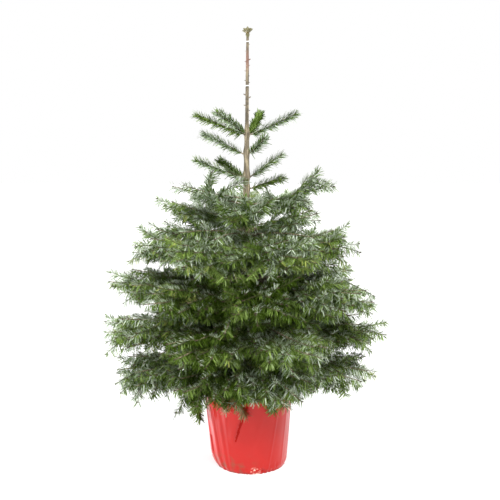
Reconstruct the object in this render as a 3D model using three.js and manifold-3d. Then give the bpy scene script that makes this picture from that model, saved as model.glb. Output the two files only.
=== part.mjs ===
// A young Nordmann fir grown as a Christmas tree: a bare leader over tiers of needle-clad sprays,
// rooted in a round nursery pot that stands in a wrap of red film.
// Millimetres, +Z up. The origin is on the ground, under the middle of the pot.
// +X is the tree's right, and +Y is its back.
import * as THREE from "three";
import { mergeVertices } from "three/addons/utils/BufferGeometryUtils.js";
import Module from "manifold-3d";

const wasm = await Module();
wasm.setup();

// ---------------------------------------------------------------- driving dimensions

const CLEARANCE = 0.3; // between pieces that touch
const SMOOTHING = 0.1; // how far a cut piece's facets may move when slivers are cleared
const CUT = CLEARANCE + SMOOTHING; // so a piece is cut back this far from its neighbours

const FILM = { height: 253, thickness: 1, footRadius: 122, heelRadius: 127, heel: 14, rimRadius: 147 };
const POT = { height: 249, wall: 2.2, floor: 3 };
const SOIL = { top: 241 };
const ROUND_SIDES = 32; // facets round the pot, its film and its soil

const TRUNK = {
  foot: SOIL.top + CLEARANCE,
  tip: 1479,
  footRadius: 20.5,
  flare: 8, // extra radius of the root flare where it meets the soil
  flareHeight: 16, // the height over which the flare falls to about a third
  leaderFoot: 1132, // where the bare leader starts
  leaderRadius: 7.6,
  tipRadius: 4.6,
  budRadius: 13, // the knot of buds on the tip
  budLength: 26,
  footX: -15,
  tipX: -5,
  bow: 3, // how far the middle swings to the back
  sides: 12,
  stemStations: 7,
};

const BOUGH = { rootRadius: 6.5, endRadius: 4.2, sides: 8, stations: 4 };

const SPRAY = {
  sides: 8,
  stations: 7,
  rootWidth: 0.3, // share of the full half-width where a mass starts and ends
  tipWidth: 0.2,
  lobe: 0.12, // how far the outline swells and narrows along its length
  ripple: 0.1, // the same, round its girth
  grain: 0.06, // and from point to point
};
const SHOOT = { sides: 6, stations: 4, slimmest: 30 }; // a limb with a smaller half-width is one shoot

// Each tier of the crown, from the top. Every spray is a limb from the trunk out to its tip:
// its name, its bearing in degrees (0 is +X, 90 is the back), the height it leaves the trunk,
// the radius and height of its tip, and the half-width of its foliage.
const TIERS = [
  {
    tier: 1, thickUp: 20, thickDown: 17, rise: 16, bare: 0,
    limbs: [
      ["left", 183, 1132, 168, 1192, 22],
      ["front_left", 232, 1130, 140, 1192, 22],
      ["right", 356, 1130, 166, 1194, 22],
      ["back_right", 66, 1132, 148, 1200, 22],
    ],
  },
  {
    tier: 2, thickUp: 19, thickDown: 17, rise: 24, bare: 0,
    limbs: [
      ["left", 176, 1062, 146, 1136, 21],
      ["right", 312, 1064, 88, 1122, 21],
    ],
  },
  {
    tier: 3, thickUp: 20, thickDown: 19, rise: 16, bare: 0,
    limbs: [
      ["left", 186, 984, 170, 1042, 24],
      ["back_left", 142, 988, 118, 1042, 24],
      ["right", 4, 1000, 118, 1062, 24],
      ["low_right", 350, 944, 130, 984, 19],
    ],
  },
  {
    tier: 4, thickUp: 34, thickDown: 40, rise: 10, bare: 0,
    limbs: [
      ["high_left", 190, 890, 248, 962, 64],
      ["low_left", 168, 820, 328, 912, 76],
      ["high_right", 6, 868, 286, 984, 72],
      ["low_right", 334, 800, 258, 882, 76],
      ["front", 264, 842, 222, 870, 78],
      ["back", 88, 850, 258, 950, 84],
    ],
  },
  {
    tier: 5, thickUp: 68, thickDown: 70, rise: 4, bare: 0,
    limbs: [
      ["left", 180, 738, 386, 756, 138],
      ["front_left", 238, 730, 356, 738, 140],
      ["front_right", 302, 734, 346, 744, 140],
      ["right", 0, 734, 382, 764, 138],
      ["back", 92, 740, 372, 790, 150],
    ],
  },
  {
    tier: 6, thickUp: 62, thickDown: 76, rise: 0, bare: 78,
    limbs: [
      ["left", 176, 622, 470, 628, 130],
      ["front_left", 226, 610, 424, 606, 128],
      ["front", 276, 614, 398, 596, 128],
      ["front_right", 334, 616, 456, 592, 128],
      ["back_right", 34, 620, 456, 640, 136],
      ["back", 106, 622, 430, 640, 140],
    ],
  },
  {
    tier: 7, thickUp: 70, thickDown: 86, rise: -4, bare: 84,
    limbs: [
      ["left", 186, 502, 478, 470, 134],
      ["front_left", 244, 494, 434, 460, 134],
      ["front_right", 300, 496, 436, 464, 134],
      ["right", 358, 502, 474, 466, 134],
      ["back_right", 62, 502, 452, 488, 140],
      ["back_left", 128, 500, 456, 486, 140],
    ],
  },
  {
    tier: 8, thickUp: 96, thickDown: 74, rise: -8, bare: 80,
    limbs: [
      ["left", 178, 376, 440, 290, 150],
      ["front_left", 240, 376, 352, 308, 142],
      ["front_right", 300, 376, 352, 310, 142],
      ["right", 2, 376, 448, 290, 150],
      ["back", 92, 378, 400, 310, 160],
    ],
  },
];

// ---------------------------------------------------------------- solids and meshes

// The manifold solid of a closed three.js geometry.
function solidOf(geometry) {
  const bare = geometry.index ? geometry.toNonIndexed() : geometry.clone();
  bare.deleteAttribute("normal");
  bare.deleteAttribute("uv");
  const merged = mergeVertices(bare, 1e-4);
  return new wasm.Manifold(new wasm.Mesh({
    numProp: 3,
    vertProperties: new Float32Array(merged.attributes.position.array),
    triVerts: new Uint32Array(merged.index.array),
  }));
}

// The three.js geometry of a manifold solid.
function geometryOf(solid) {
  const mesh = solid.getMesh();
  const geometry = new THREE.BufferGeometry();
  geometry.setAttribute("position", new THREE.BufferAttribute(mesh.vertProperties, 3));
  geometry.setIndex(new THREE.BufferAttribute(mesh.triVerts, 1));
  geometry.computeVertexNormals();
  return geometry;
}

// Offcuts are dropped: what is left of a solid is its largest body.
function largestBody(solid) {
  return solid.decompose().reduce((best, piece) => (piece.volume() > best.volume() ? piece : best));
}

function namedMesh(name, geometry, material) {
  const mesh = new THREE.Mesh(geometry, material);
  mesh.name = name;
  return mesh;
}

function finish(color, roughness) {
  return new THREE.MeshStandardMaterial({ color, roughness, metalness: 0 });
}

// ---------------------------------------------------------------- pot, soil and film

// A solid of revolution about +Z from its half-section, a list of [radius, height] pairs.
function turned(halfSection) {
  const points = halfSection.map(([radius, height]) => new THREE.Vector2(radius, height));
  const geometry = new THREE.LatheGeometry(points, ROUND_SIDES);
  return geometry.rotateX(Math.PI / 2);
}

// The radius of the film's outside at a height: a short heel above its foot, then a straight cone.
function filmRadius(height) {
  const { footRadius, heelRadius, heel, rimRadius } = FILM;
  return height < heel
    ? THREE.MathUtils.lerp(footRadius, heelRadius, height / heel)
    : THREE.MathUtils.mapLinear(height, heel, FILM.height, heelRadius, rimRadius);
}

function filmWrap() {
  const inside = (height) => filmRadius(height) - FILM.thickness;
  return turned([
    [0, 0],
    [FILM.footRadius, 0],
    [FILM.heelRadius, FILM.heel],
    [FILM.rimRadius, FILM.height],
    [inside(FILM.height), FILM.height],
    [inside(FILM.heel), FILM.heel],
    [inside(FILM.thickness), FILM.thickness],
    [0, FILM.thickness],
  ]);
}

const POT_FOOT = FILM.thickness + CLEARANCE;

function potRadius(height) {
  return filmRadius(height) - FILM.thickness - CLEARANCE;
}

function nurseryPot() {
  const floor = POT_FOOT + POT.floor;
  return turned([
    [0, POT_FOOT],
    [potRadius(POT_FOOT), POT_FOOT],
    [potRadius(FILM.heel), FILM.heel],
    [potRadius(POT.height), POT.height],
    [potRadius(POT.height) - POT.wall, POT.height],
    [potRadius(FILM.heel) - POT.wall, FILM.heel],
    [potRadius(floor) - POT.wall, floor],
    [0, floor],
  ]);
}

function pottingSoil() {
  const floor = POT_FOOT + POT.floor + CLEARANCE;
  const inside = (height) => potRadius(height) - POT.wall - CLEARANCE;
  return turned([
    [0, floor],
    [inside(floor), floor],
    [inside(FILM.heel), FILM.heel],
    [inside(SOIL.top), SOIL.top],
    [0, SOIL.top],
  ]);
}

// ---------------------------------------------------------------- limbs

// The middle of the trunk at a height: it leans a little to the right as it rises.
function trunkAxis(height) {
  const rise = (height - TRUNK.foot) / (TRUNK.tip - TRUNK.foot);
  const x = THREE.MathUtils.lerp(TRUNK.footX, TRUNK.tipX, rise);
  return new THREE.Vector3(x, TRUNK.bow * Math.sin(Math.PI * rise), height);
}

// Root flare, straight taper to the last whorl, a slimmer leader, and the knot of buds on its tip.
function trunkRadius(height) {
  const flare = TRUNK.flare * Math.exp((TRUNK.foot - height) / TRUNK.flareHeight);
  const along = THREE.MathUtils.inverseLerp(TRUNK.foot, TRUNK.leaderFoot, height);
  const stem = THREE.MathUtils.lerp(TRUNK.footRadius, TRUNK.leaderRadius, Math.min(along, 1));
  const up = THREE.MathUtils.inverseLerp(TRUNK.leaderFoot, TRUNK.tip, height);
  const leader = THREE.MathUtils.lerp(TRUNK.leaderRadius, TRUNK.tipRadius, Math.max(up, 0));
  return up > 0 ? leader : stem + flare;
}

// A closed cylinder whose every point is moved by place(along, angle, out):
// along runs from 0 to 1, and out is 0 on the axis and 1 on the skin.
function warpedCylinder(sides, stations, place) {
  const geometry = new THREE.CylinderGeometry(1, 1, 1, sides, stations);
  const points = geometry.attributes.position;
  const point = new THREE.Vector3();
  for (let i = 0; i < points.count; i += 1) {
    point.fromBufferAttribute(points, i);
    const moved = place(point.y + 0.5, Math.atan2(-point.z, point.x), Math.hypot(point.x, point.z));
    points.setXYZ(i, moved.x, moved.y, moved.z);
  }
  return geometry;
}

// The trunk's stations, as [height, radius] pairs, closest where its outline turns.
function trunkStations() {
  const { foot, flareHeight, leaderFoot, stemStations, tip, tipRadius, budRadius, budLength } = TRUNK;
  const clearOfFlare = foot + 3 * flareHeight;
  const heights = [foot, foot + 0.6 * flareHeight, foot + 1.5 * flareHeight];
  for (let i = 0; i <= stemStations; i += 1) {
    heights.push(THREE.MathUtils.lerp(clearOfFlare, leaderFoot, i / stemStations));
  }
  heights.push((leaderFoot + tip) / 2);
  const bark = heights.map((height) => [height, trunkRadius(height)]);
  const buds = [[0, tipRadius], [0.3, 0.7 * budRadius], [0.7, budRadius], [1, 0.55 * budRadius]];
  return bark.concat(buds.map(([up, radius]) => [tip - budLength * (1 - up), radius]));
}

function trunkSolid(grow) {
  const stations = trunkStations();
  const last = stations.length - 1;
  return solidOf(warpedCylinder(TRUNK.sides, last, (along, angle, out) => {
    const [height, radius] = stations[Math.round(along * last)];
    const reach = (radius + grow) * out;
    return trunkAxis(height).add(new THREE.Vector3(
      reach * Math.cos(angle),
      reach * Math.sin(angle),
      grow * (2 * along - 1),
    ));
  }));
}

// A limb's own frame: a point along it, its heading, its level side and its upper side.
function limbFrame(limb, along) {
  const pointAt = (share) => {
    const turn = THREE.MathUtils.degToRad(limb.bearing + limb.swing * share * share);
    const reach = limb.tipRadius * share;
    const climb = limb.tipRadius * Math.tan(THREE.MathUtils.degToRad(limb.rise));
    const sag = limb.tipHeight - limb.height - climb;
    const root = trunkAxis(limb.height);
    return new THREE.Vector3(
      root.x + reach * Math.cos(turn),
      root.y + reach * Math.sin(turn),
      limb.height + climb * share + sag * share * share,
    );
  };
  const step = 0.01;
  const heading = pointAt(along + step).sub(pointAt(along - step)).normalize();
  const side = new THREE.Vector3(0, 0, 1).cross(heading).normalize();
  const upper = heading.clone().cross(side);
  return { point: pointAt(along), heading, side, upper };
}

// One tapering bough, from inside the trunk to where it enters its foliage.
function boughSolid(limb, grow) {
  const end = limb.bare / limb.tipRadius;
  return solidOf(warpedCylinder(BOUGH.sides, BOUGH.stations, (along, angle, out) => {
    const frame = limbFrame(limb, along * end);
    const taper = THREE.MathUtils.lerp(BOUGH.rootRadius, BOUGH.endRadius, along);
    const radius = (taper + grow) * out;
    return frame.point
      .addScaledVector(frame.side, radius * Math.cos(angle))
      .addScaledVector(frame.upper, radius * Math.sin(angle));
  }));
}

// ---------------------------------------------------------------- foliage

// A repeatable number from 0 to 1 for each whole number.
function scatter(index) {
  const wave = Math.sin(index * 12.9898 + 4.1414) * 43758.5453;
  return wave - Math.floor(wave);
}

// The outline of a spray from above, as a share of its half-width: narrow at its root,
// widest past the middle, and drawn in to a blunt tip.
function sprayOutline(along) {
  const ends = THREE.MathUtils.lerp(SPRAY.rootWidth, SPRAY.tipWidth, along);
  return ends + (1 - ends) * Math.sin(Math.PI * along ** 0.9) ** 0.8;
}

// The same for a single shoot, which is as thick as it is wide: drawn in only at its two ends.
function shootOutline(along) {
  return 0.55 + 0.45 * Math.sin(Math.PI * along) ** 0.35;
}

// How far a spray's skin stands in or out at a point, so that no two masses are alike.
function unevenness(limb, along, angle) {
  const seed = limb.index * 7;
  const swell = 1 + SPRAY.lobe * Math.sin(along * 11 + 6 * scatter(seed));
  const ripple = 1 + SPRAY.ripple * Math.sin(3 * angle + 5 * along + 6 * scatter(seed + 1));
  const turn = Math.round((angle / (2 * Math.PI) + 1) * SPRAY.sides) % SPRAY.sides;
  const point = Math.round(along * SPRAY.stations) * SPRAY.sides + turn;
  return swell * ripple * (1 + SPRAY.grain * (2 * scatter(seed + 31 + point) - 1));
}

// One mass of foliage: a flattened, uneven solid round its limb.
function spraySolid(limb, grow) {
  const start = limb.bare ? (limb.bare + CLEARANCE) / limb.tipRadius : 0.02;
  const shoot = limb.halfWidth < SHOOT.slimmest;
  const { sides, stations } = shoot ? SHOOT : SPRAY;
  return solidOf(warpedCylinder(sides, stations, (along, angle, out) => {
    const frame = limbFrame(limb, THREE.MathUtils.lerp(start, 1, along));
    const outline = shoot ? shootOutline(along) : sprayOutline(along);
    const uneven = shoot ? 1 : unevenness(limb, along, angle);
    const thick = Math.sin(angle) > 0 ? limb.thickUp : limb.thickDown;
    const wide = limb.halfWidth * outline * uneven + grow;
    const deep = thick * outline ** 0.6 * uneven + grow;
    const stretch = along < 0.5 ? -grow : grow;
    return frame.point
      .addScaledVector(frame.side, wide * Math.cos(angle) * out)
      .addScaledVector(frame.upper, deep * Math.sin(angle) * out)
      .addScaledVector(frame.heading, stretch);
  }));
}

// ---------------------------------------------------------------- the tree

const LIMBS = TIERS.flatMap((tier) => tier.limbs.map((row) => {
  const [place, bearing, height, tipRadius, tipHeight, halfWidth] = row;
  const { thickUp, thickDown, rise, bare } = tier;
  const name = `${tier.tier}_${place}`;
  return { name, bearing, height, tipRadius, tipHeight, halfWidth, thickUp, thickDown, rise, bare };
}));
LIMBS.forEach((limb, index) => {
  limb.index = index + 1;
  limb.swing = 16 * (scatter(index + 500) - 0.5); // degrees that a limb bends sideways by its tip
});

const BARK = finish(0x8f7f5f, 0.85);
const GREENS = [0x4f6b33, 0x45602f, 0x5a7540, 0x3c5528];

const trunk = trunkSolid(0);
const filmCut = solidOf(turned([
  [0, FILM.heel],
  [filmRadius(FILM.heel) + CUT, FILM.heel],
  [FILM.rimRadius + CUT, FILM.height + CUT],
  [0, FILM.height + CUT],
]));

const tree = new THREE.Group();

const pot = new THREE.Group();
pot.add(namedMesh("film_wrap", filmWrap(), finish(0xd8332c, 0.28)));
pot.add(namedMesh("nursery_pot", nurseryPot(), finish(0x1d1d1c, 0.6)));
pot.add(namedMesh("potting_soil", pottingSoil(), finish(0x3b2a1e, 0.95)));
tree.add(pot);

tree.add(namedMesh("trunk", geometryOf(trunk), BARK));

// The boughs come first, so that every mass of foliage is cut round all of them.
const cutters = [trunkSolid(CUT), filmCut];
const cutRound = (whole) => {
  const cut = cutters.reduce((left, cutter) => left.subtract(cutter), whole);
  return largestBody(cut).simplify(SMOOTHING);
};

for (const limb of LIMBS.filter((each) => each.bare)) {
  tree.add(namedMesh(`bough_${limb.name}`, geometryOf(cutRound(boughSolid(limb, 0))), BARK));
  cutters.push(boughSolid(limb, CUT));
}

for (const limb of LIMBS) {
  const green = finish(GREENS[limb.index % GREENS.length], 0.7);
  tree.add(namedMesh(`foliage_${limb.name}`, geometryOf(cutRound(spraySolid(limb, 0))), green));
  cutters.push(spraySolid(limb, CUT));
}

export default tree;
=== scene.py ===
"""A potted Nordmann fir Christmas tree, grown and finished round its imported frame.

The frame gives the place of every limb and mass of foliage. Each limb is grown again as wood by a seeded
branching rule, held inside its mass, and clothed in flat needles. The pot gets its wrap of pleated red film.
"""

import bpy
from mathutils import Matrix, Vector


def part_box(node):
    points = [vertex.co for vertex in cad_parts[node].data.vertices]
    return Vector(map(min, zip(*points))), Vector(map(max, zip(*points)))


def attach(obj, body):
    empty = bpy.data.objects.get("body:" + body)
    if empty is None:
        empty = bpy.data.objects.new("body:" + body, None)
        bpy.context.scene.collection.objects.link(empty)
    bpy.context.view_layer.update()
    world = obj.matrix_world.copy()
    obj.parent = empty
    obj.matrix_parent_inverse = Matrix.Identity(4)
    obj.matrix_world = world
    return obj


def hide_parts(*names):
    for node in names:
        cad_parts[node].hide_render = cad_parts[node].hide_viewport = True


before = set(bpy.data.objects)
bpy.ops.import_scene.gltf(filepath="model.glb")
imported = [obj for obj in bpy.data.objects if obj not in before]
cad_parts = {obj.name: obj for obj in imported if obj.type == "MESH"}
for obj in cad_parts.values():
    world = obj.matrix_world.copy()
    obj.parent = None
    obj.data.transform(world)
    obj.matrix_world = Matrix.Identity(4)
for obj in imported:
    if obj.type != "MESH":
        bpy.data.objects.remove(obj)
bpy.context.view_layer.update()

import functools
import math
import zlib

import bmesh
import bpy
import numpy as np
from bpy.props import FloatProperty, FloatVectorProperty, IntProperty, PointerProperty
from mathutils import Matrix, Vector, noise
from mathutils.bvhtree import BVHTree

bl_info = {
    "name": "Potted Nordmann Fir",
    "version": (1, 0, 0),
    "blender": (4, 5, 0),
    "location": "3D View > Sidebar > Fir",
    "description": "Grows a potted Nordmann fir round its frame of limbs and foliage masses",
    "category": "Add Mesh",
}

BODY = "root"
MM = 0.001
FULL_TURN = 2 * math.pi


# ---------------------------------------------------------------- what a user may change


def length(name, description, default):
    return FloatProperty(name=name, description=description, default=default, unit="LENGTH", precision=4)


def angle(name, description, degrees):
    return FloatProperty(name=name, description=description, default=math.radians(degrees), unit="ROTATION")


def amount(name, description, default):
    return FloatProperty(name=name, description=description, default=default, min=0.0)


def colour(name, description, default):
    return FloatVectorProperty(
        name=name, description=description, default=default, subtype="COLOR", size=3, min=0.0, max=1.0
    )


class FirGrowth(bpy.types.PropertyGroup):
    """How the limbs branch."""

    year: length("Year's growth", "Length that a limb of the lower tiers adds in a year", 0.1)
    side_angle: angle("Side angle", "Angle of a side shoot to the limb that carries it", 52)
    side_share: amount("Side share", "Length of a side shoot as a share of the limb beyond it", 0.72)
    tilt: angle("Tilt", "How far side shoots may stand out of the flat of their spray", 9)
    twig_gap: length("Twig gap", "Distance between small shoots along a year's growth", 0.082)
    shortest: length("Shortest shoot", "Shoots shorter than this are not grown", 0.046)
    skin: length("Skin", "How far a shoot's wood stops inside its mass of foliage", 0.003)
    seed: IntProperty(name="Seed", description="Another number grows another tree", default=7)


class FirNeedles(bpy.types.PropertyGroup):
    """The needles' size and how densely they stand."""

    length: length("Length", "Length of a full-grown needle", 0.031)
    width: length("Width", "Width of a needle", 0.0026)
    per_metre: amount("Needles per metre", "Needles along a shoot", 715)
    lean_top: angle("Lean on top", "Angle between the shoot and the needles above it", 48)
    lean_side: angle("Lean at the sides", "Angle between the shoot and the needles beside it", 67)
    hang: angle("Hang", "How far round from the top most hanging needles stand", 138)


class FirColours(bpy.types.PropertyGroup):
    """Plain colours of the tree and its pot."""

    # The two darkest greens are partly painted shade: they are dealt to sprays deep inside the crown and to
    # needles under sprays.
    deep: colour("Deep green", "Needles inside the crown", (0.03, 0.056, 0.003))
    forest: colour("Forest green", "Needles of older shoots", (0.068, 0.118, 0.014))
    middle: colour("Middle green", "Most of the outer needles", (0.138, 0.212, 0.04))
    fresh: colour("Fresh green", "Needles of the last year's shoots", (0.218, 0.318, 0.074))
    olive: colour("Olive green", "Needles gone dull in the sun", (0.215, 0.218, 0.06))
    lime: colour("Yellow green", "The brightest tips", (0.37, 0.41, 0.095))
    # This pale green is a painted highlight: it stands for light glancing off the tops of sprays, and is
    # dealt there and under some sprays of the open tier.
    silver: colour("Silver green", "Needles that show their pale undersides", (0.57, 0.645, 0.515))
    dry: colour("Dry brown", "Dying needles over the pot's rim", (0.3, 0.19, 0.085))
    # This grey-green is a painted sheen: it stands for light glancing off needles at the crown's skin and in
    # the top tiers.
    sage: colour("Sage", "Grey-green needles in full light", (0.305, 0.385, 0.258))
    twig_bark: colour("Twig bark", "Twigs of some years", (0.105, 0.098, 0.050))
    young_bark: colour("Young bark", "Last year's twigs", (0.105, 0.118, 0.042))
    old_bark: colour("Old bark", "Limbs and trunk", (0.215, 0.172, 0.110))
    bud: colour("Buds", "Resting buds", (0.075, 0.048, 0.030))
    film: colour("Film", "Red film round the pot", (0.5, 0.009, 0.0045))


class FirStage(bpy.types.PropertyGroup):
    """Where the camera stands, and the light."""

    distance: length("Camera distance", "From the trunk to the camera", 2.8)
    height: length("Camera height", "Above the floor", 1.05)
    offset: length("Camera offset", "To the right of the pot", 0.0027)
    pitch: angle("Pitch", "How far the camera looks down", 6.342)
    view_angle: angle("View angle", "Angle across the square picture", 33.406)
    sky: amount("Sky", "Strength of the even light from all round", 1.0)
    key: amount("Key light", "Strength of the soft light from above", 4.2)
    strip: amount("Strip lights", "Power of the tall lights beside the pot", 45.0)


# ---------------------------------------------------------------- directions and angles


UP = np.array([0.0, 0.0, 1.0])


def unit(vector):
    return vector / max(np.linalg.norm(vector), 1e-9)


def level_side(heading):
    """The level direction to the left of a heading."""
    return unit(np.cross(UP, heading))


def heading_at(bearing):
    """The level direction on a bearing."""
    return np.array([math.cos(bearing), math.sin(bearing)])


def half_turn(angle_between):
    """The same angle between minus and plus half a turn."""
    return (angle_between + math.pi) % FULL_TURN - math.pi


def curve(start, middle, end, count):
    """Points of a bend from start to end, drawn towards the middle point."""
    part = np.linspace(0, 1, count)[:, None]
    return start * (1 - part) ** 2 + middle * 2 * part * (1 - part) + end * part**2


# ---------------------------------------------------------------- reading the frame


def node_points(name):
    """Every vertex of a frame node, as an array."""
    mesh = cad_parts[name].data
    points = np.empty(len(mesh.vertices) * 3, np.float32)
    mesh.vertices.foreach_get("co", points)
    return points.reshape(-1, 3).astype(float)


@functools.cache
def trunk_rings():
    """The trunk's rings from the foot up: heights, centres and radii."""
    points = node_points("trunk")
    heights = np.unique(points[:, 2].round(4))
    rings = [points[abs(points[:, 2] - height) < 1e-4] for height in heights]
    centres = np.array([(ring.min(0) + ring.max(0)) / 2 for ring in rings])
    radii = np.array([np.hypot(*(ring - centre).T[:2]).max() for ring, centre in zip(rings, centres)])
    return heights, centres, radii


def trunk_axis(height):
    """Where the trunk's centre is at a height."""
    heights, centres, _ = trunk_rings()
    return np.stack([np.interp(height, heights, centres[:, axis]) for axis in (0, 1)], -1)


def trunk_radius(height):
    heights, _, radii = trunk_rings()
    return np.interp(height, heights, radii)


def beside_trunk(height, bearing, out):
    """The place at a height and a bearing, so far out from the trunk's axis."""
    return np.array([*(trunk_axis(height) + out * heading_at(bearing)), height])


def inside_trunk(height):
    """How far out a limb's wood starts, so that its end is hidden in the trunk."""
    return float(trunk_radius(height)) * 0.6


LOW_ROOTS = {  # how far below its mass a young limb leaves the trunk, before it curves up
    "1_back_right": 0.014, "1_front_left": 0.016, "1_left": 0.016, "1_right": 0.016,
    "2_left": 0.016, "2_right": 0.010,
    "3_left": 0.010, "3_right": 0.028, "3_low_right": 0.005, "3_back_left": 0.010,
}


def midway(values):
    return (values.min() + values.max()) / 2


class Limb:
    """One limb of the frame: its curved axis from the trunk to its tip, and the mass round it."""

    BINS = 9  # stretches that the mass is measured in

    def __init__(self, name):
        self.name = name
        self.tier = int(name.split("_")[0])
        self.rng = self.draws(0)
        points = node_points("foliage_" + name)
        self.bare = "bough_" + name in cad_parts
        if self.bare:
            points = np.vstack([points, node_points("bough_" + name)])
        flat = points[:, :2] - trunk_axis(points[:, 2])
        reach = np.hypot(*flat.T)
        middle = math.atan2(*flat[reach > np.median(reach)].mean(0)[::-1])
        turn = half_turn(np.arctan2(flat[:, 1], flat[:, 0]) - middle)
        along = reach * np.cos(turn)
        self.tip = along.max()
        edges = np.linspace(along.min(), self.tip, self.BINS + 1)
        rows = [np.flatnonzero((along >= low) & (along <= high)) for low, high in zip(edges, edges[1:])]
        rows = [row for row in rows if len(row) > 3]
        place = [(np.mean(along[row]), midway(points[row, 2]), midway(turn[row])) for row in rows]
        at, height, bearing = np.array(place).T
        self.height_fit = np.polyfit(at, height, 2)
        self.turn_fit = np.polyfit(at, bearing * at, 2)
        self.middle = middle
        self.entry = reach[: len(node_points("foliage_" + name))].min()

    def draws(self, series):
        """A seeded series of random numbers of this limb's own."""
        return np.random.default_rng(zlib.crc32(self.name.encode()) + series + growth().seed)

    def point(self, reach):
        """The limb's axis at a distance out from the trunk's axis."""
        drop = LOW_ROOTS.get(self.name, 0.0) * max(0.0, 1 - reach / self.tip) ** 1.5
        height = np.polyval(self.height_fit, reach) - drop
        aside = np.polyval(self.turn_fit, reach) - np.polyval(self.turn_fit, 0.0)
        heading = heading_at(self.middle)
        across = np.array([-heading[1], heading[0]])
        flat = trunk_axis(np.polyval(self.height_fit, 0.0)) + heading * reach + across * aside
        return np.array([flat[0], flat[1], height])

    def ahead(self, reach, back=0.0):
        """The limb's heading at a distance out from the trunk's axis."""
        return unit(self.point(reach + 0.01) - self.point(reach - back))


@functools.cache
def crown_skin():
    """One search tree over the skins of all masses of foliage."""
    points, faces = [], []
    for name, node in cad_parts.items():
        if name.startswith("foliage_"):
            first = len(points)
            points += [vert.co.copy() for vert in node.data.vertices]
            faces += [[first + index for index in face.vertices] for face in node.data.polygons]
    return BVHTree.FromPolygons(points, faces)


def room(point, direction, limit=0.4, gap=0.032):
    """How far a shoot can grow before it leaves the crown. It may cross a narrow gap between two masses."""
    point, direction = Vector(point), Vector(direction)
    place = 0.0
    left_at = 0.0
    inside = None
    while place < limit:
        _, normal, _, ahead = crown_skin().ray_cast(point + direction * place, direction, limit - place)
        if ahead is None:
            return limit if inside else left_at
        if normal.dot(direction) > 0:
            left_at = place + ahead
            inside = False
        elif place + ahead - left_at > gap:
            return left_at
        else:
            inside = True
        place += ahead + 1e-5
    return limit if inside else left_at


def in_crown(point, margin=0.02):
    """Whether a point is inside a mass of foliage, or close to one."""
    _, normal, _, ahead = crown_skin().ray_cast(Vector(point), Vector((0.13, 0.07, 1.0)))
    if ahead is not None and normal.z > 0:
        return True
    return crown_skin().find_nearest(Vector(point), margin)[0] is not None


def settings(name):
    return getattr(bpy.context.scene, name)


def growth():
    return settings("fir_growth")


@functools.cache
def limbs():
    """Every limb of the frame, from the top tier down."""
    masses = [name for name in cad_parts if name.startswith("foliage_")]
    names = sorted(name.removeprefix("foliage_") for name in masses)
    return [Limb(name) for name in names]


# ---------------------------------------------------------------- growing the wood


class Shoot:
    """One stretch of wood: points along its axis, its thickness, and how it is clothed."""

    def __init__(self, limb, points, radii, order, age, clothed=1.0):
        self.limb = limb
        self.spray = self
        self.drooping = False
        self.strong = False
        self.points = np.array(points)
        self.radii = np.array(radii, float)
        self.order = order
        self.age = age
        self.clothed = clothed
        outward = self.points[-1][:2] - trunk_axis(self.points[-1][2])
        outward = unit(np.array([outward[0], outward[1], 0.0]))
        self.depth = room(self.points[-1] - outward * 0.012, outward, 0.3, 0.05)

    def length(self):
        return np.linalg.norm(np.diff(self.points, axis=0), axis=1).sum()

    def at(self, distance):
        """Point and heading at a distance along the shoot."""
        steps = np.linalg.norm(np.diff(self.points, axis=0), axis=1)
        ends = np.concatenate([[0], np.cumsum(steps)])
        index = int(np.clip(np.searchsorted(ends, distance) - 1, 0, len(steps) - 1))
        part = (distance - ends[index]) / max(steps[index], 1e-9)
        heading = unit(self.points[index + 1] - self.points[index])
        return self.points[index] + (self.points[index + 1] - self.points[index]) * part, heading


STEP = 0.03  # length of wood between two points of an axis
SHADE_DEPTH = 0.15  # this far inside the crown, most side shoots have died for want of light
SHADED_OUT = 0.7  # how likely such a shoot has died
SHOOT_TIP = 0.0008  # radius of a side shoot's end
LONGEST_SIDE, YOUNG = 2.4, 0.8  # years of growth in the longest side shoot, and in one that is still young
LEAST_FORKED = 0.09  # length from which a side shoot branches again
UPRIGHT_OFTEN, UPRIGHT_TILTS = 0.3, (48, -40)  # how often a knot has a third shoot, and its tilt
FILLING_SERIES, NEEDLE_SERIES = 77, 1000  # series of random numbers


def straightish(rng, start, heading, reach, lift):
    """Points of a side shoot: nearly straight, and lifted or sunk a little towards its end."""
    count = max(2, int(round(reach / STEP)) + 1)
    points = [np.array(start)]
    direction = unit(heading)
    for _ in range(count - 1):
        points.append(points[-1] + direction * reach / (count - 1))
        bend = UP * lift / (count - 1) + rng.normal(0, 0.018, 3)
        direction = unit(direction + bend)
    return points


def shoot_places(parent, order, rng):
    """Where side shoots leave a stretch of wood: distance along it, vigour, and side (0 for up or down)."""
    rule = growth()
    total = parent.length()
    years = max(1, int(round(total / (rule.year * (1.0 if order == 0 else 0.78)))))
    year = total / years
    places = []
    for knot in range(1, years):
        distance = knot * year
        places += [(distance, 1.0, side) for side in (-1, 1)]
        if rng.random() < UPRIGHT_OFTEN:
            places.append((distance, 0.6, 0))
    gap = rule.twig_gap * (1.0 if order == 0 else 1.5)
    for distance in np.arange(gap, (years - 1) * year - gap / 2, gap):
        if abs(distance / year - round(distance / year)) * year > gap * 0.5:
            side = -1 if rng.random() < 0.5 else 1
            places.append((distance + rng.normal(0, 0.004), rng.uniform(0.4, 0.75), side))
    return places


def side_heading(heading, side, rng):
    """The heading of a side shoot on wood that heads a given way."""
    rule = growth()
    across = level_side(heading)
    upper = np.cross(heading, across)
    tilt = rng.normal(0, rule.tilt)
    if side == 0:
        tilt = math.radians(rng.choice(UPRIGHT_TILTS)) + rng.normal(0, 0.15)
        side = -1 if rng.random() < 0.5 else 1
    spread = rule.side_angle + rng.normal(0, 0.07)
    outward = across * side * math.cos(tilt) + upper * math.sin(tilt)
    return unit(heading * math.cos(spread) + outward * math.sin(spread))


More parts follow.
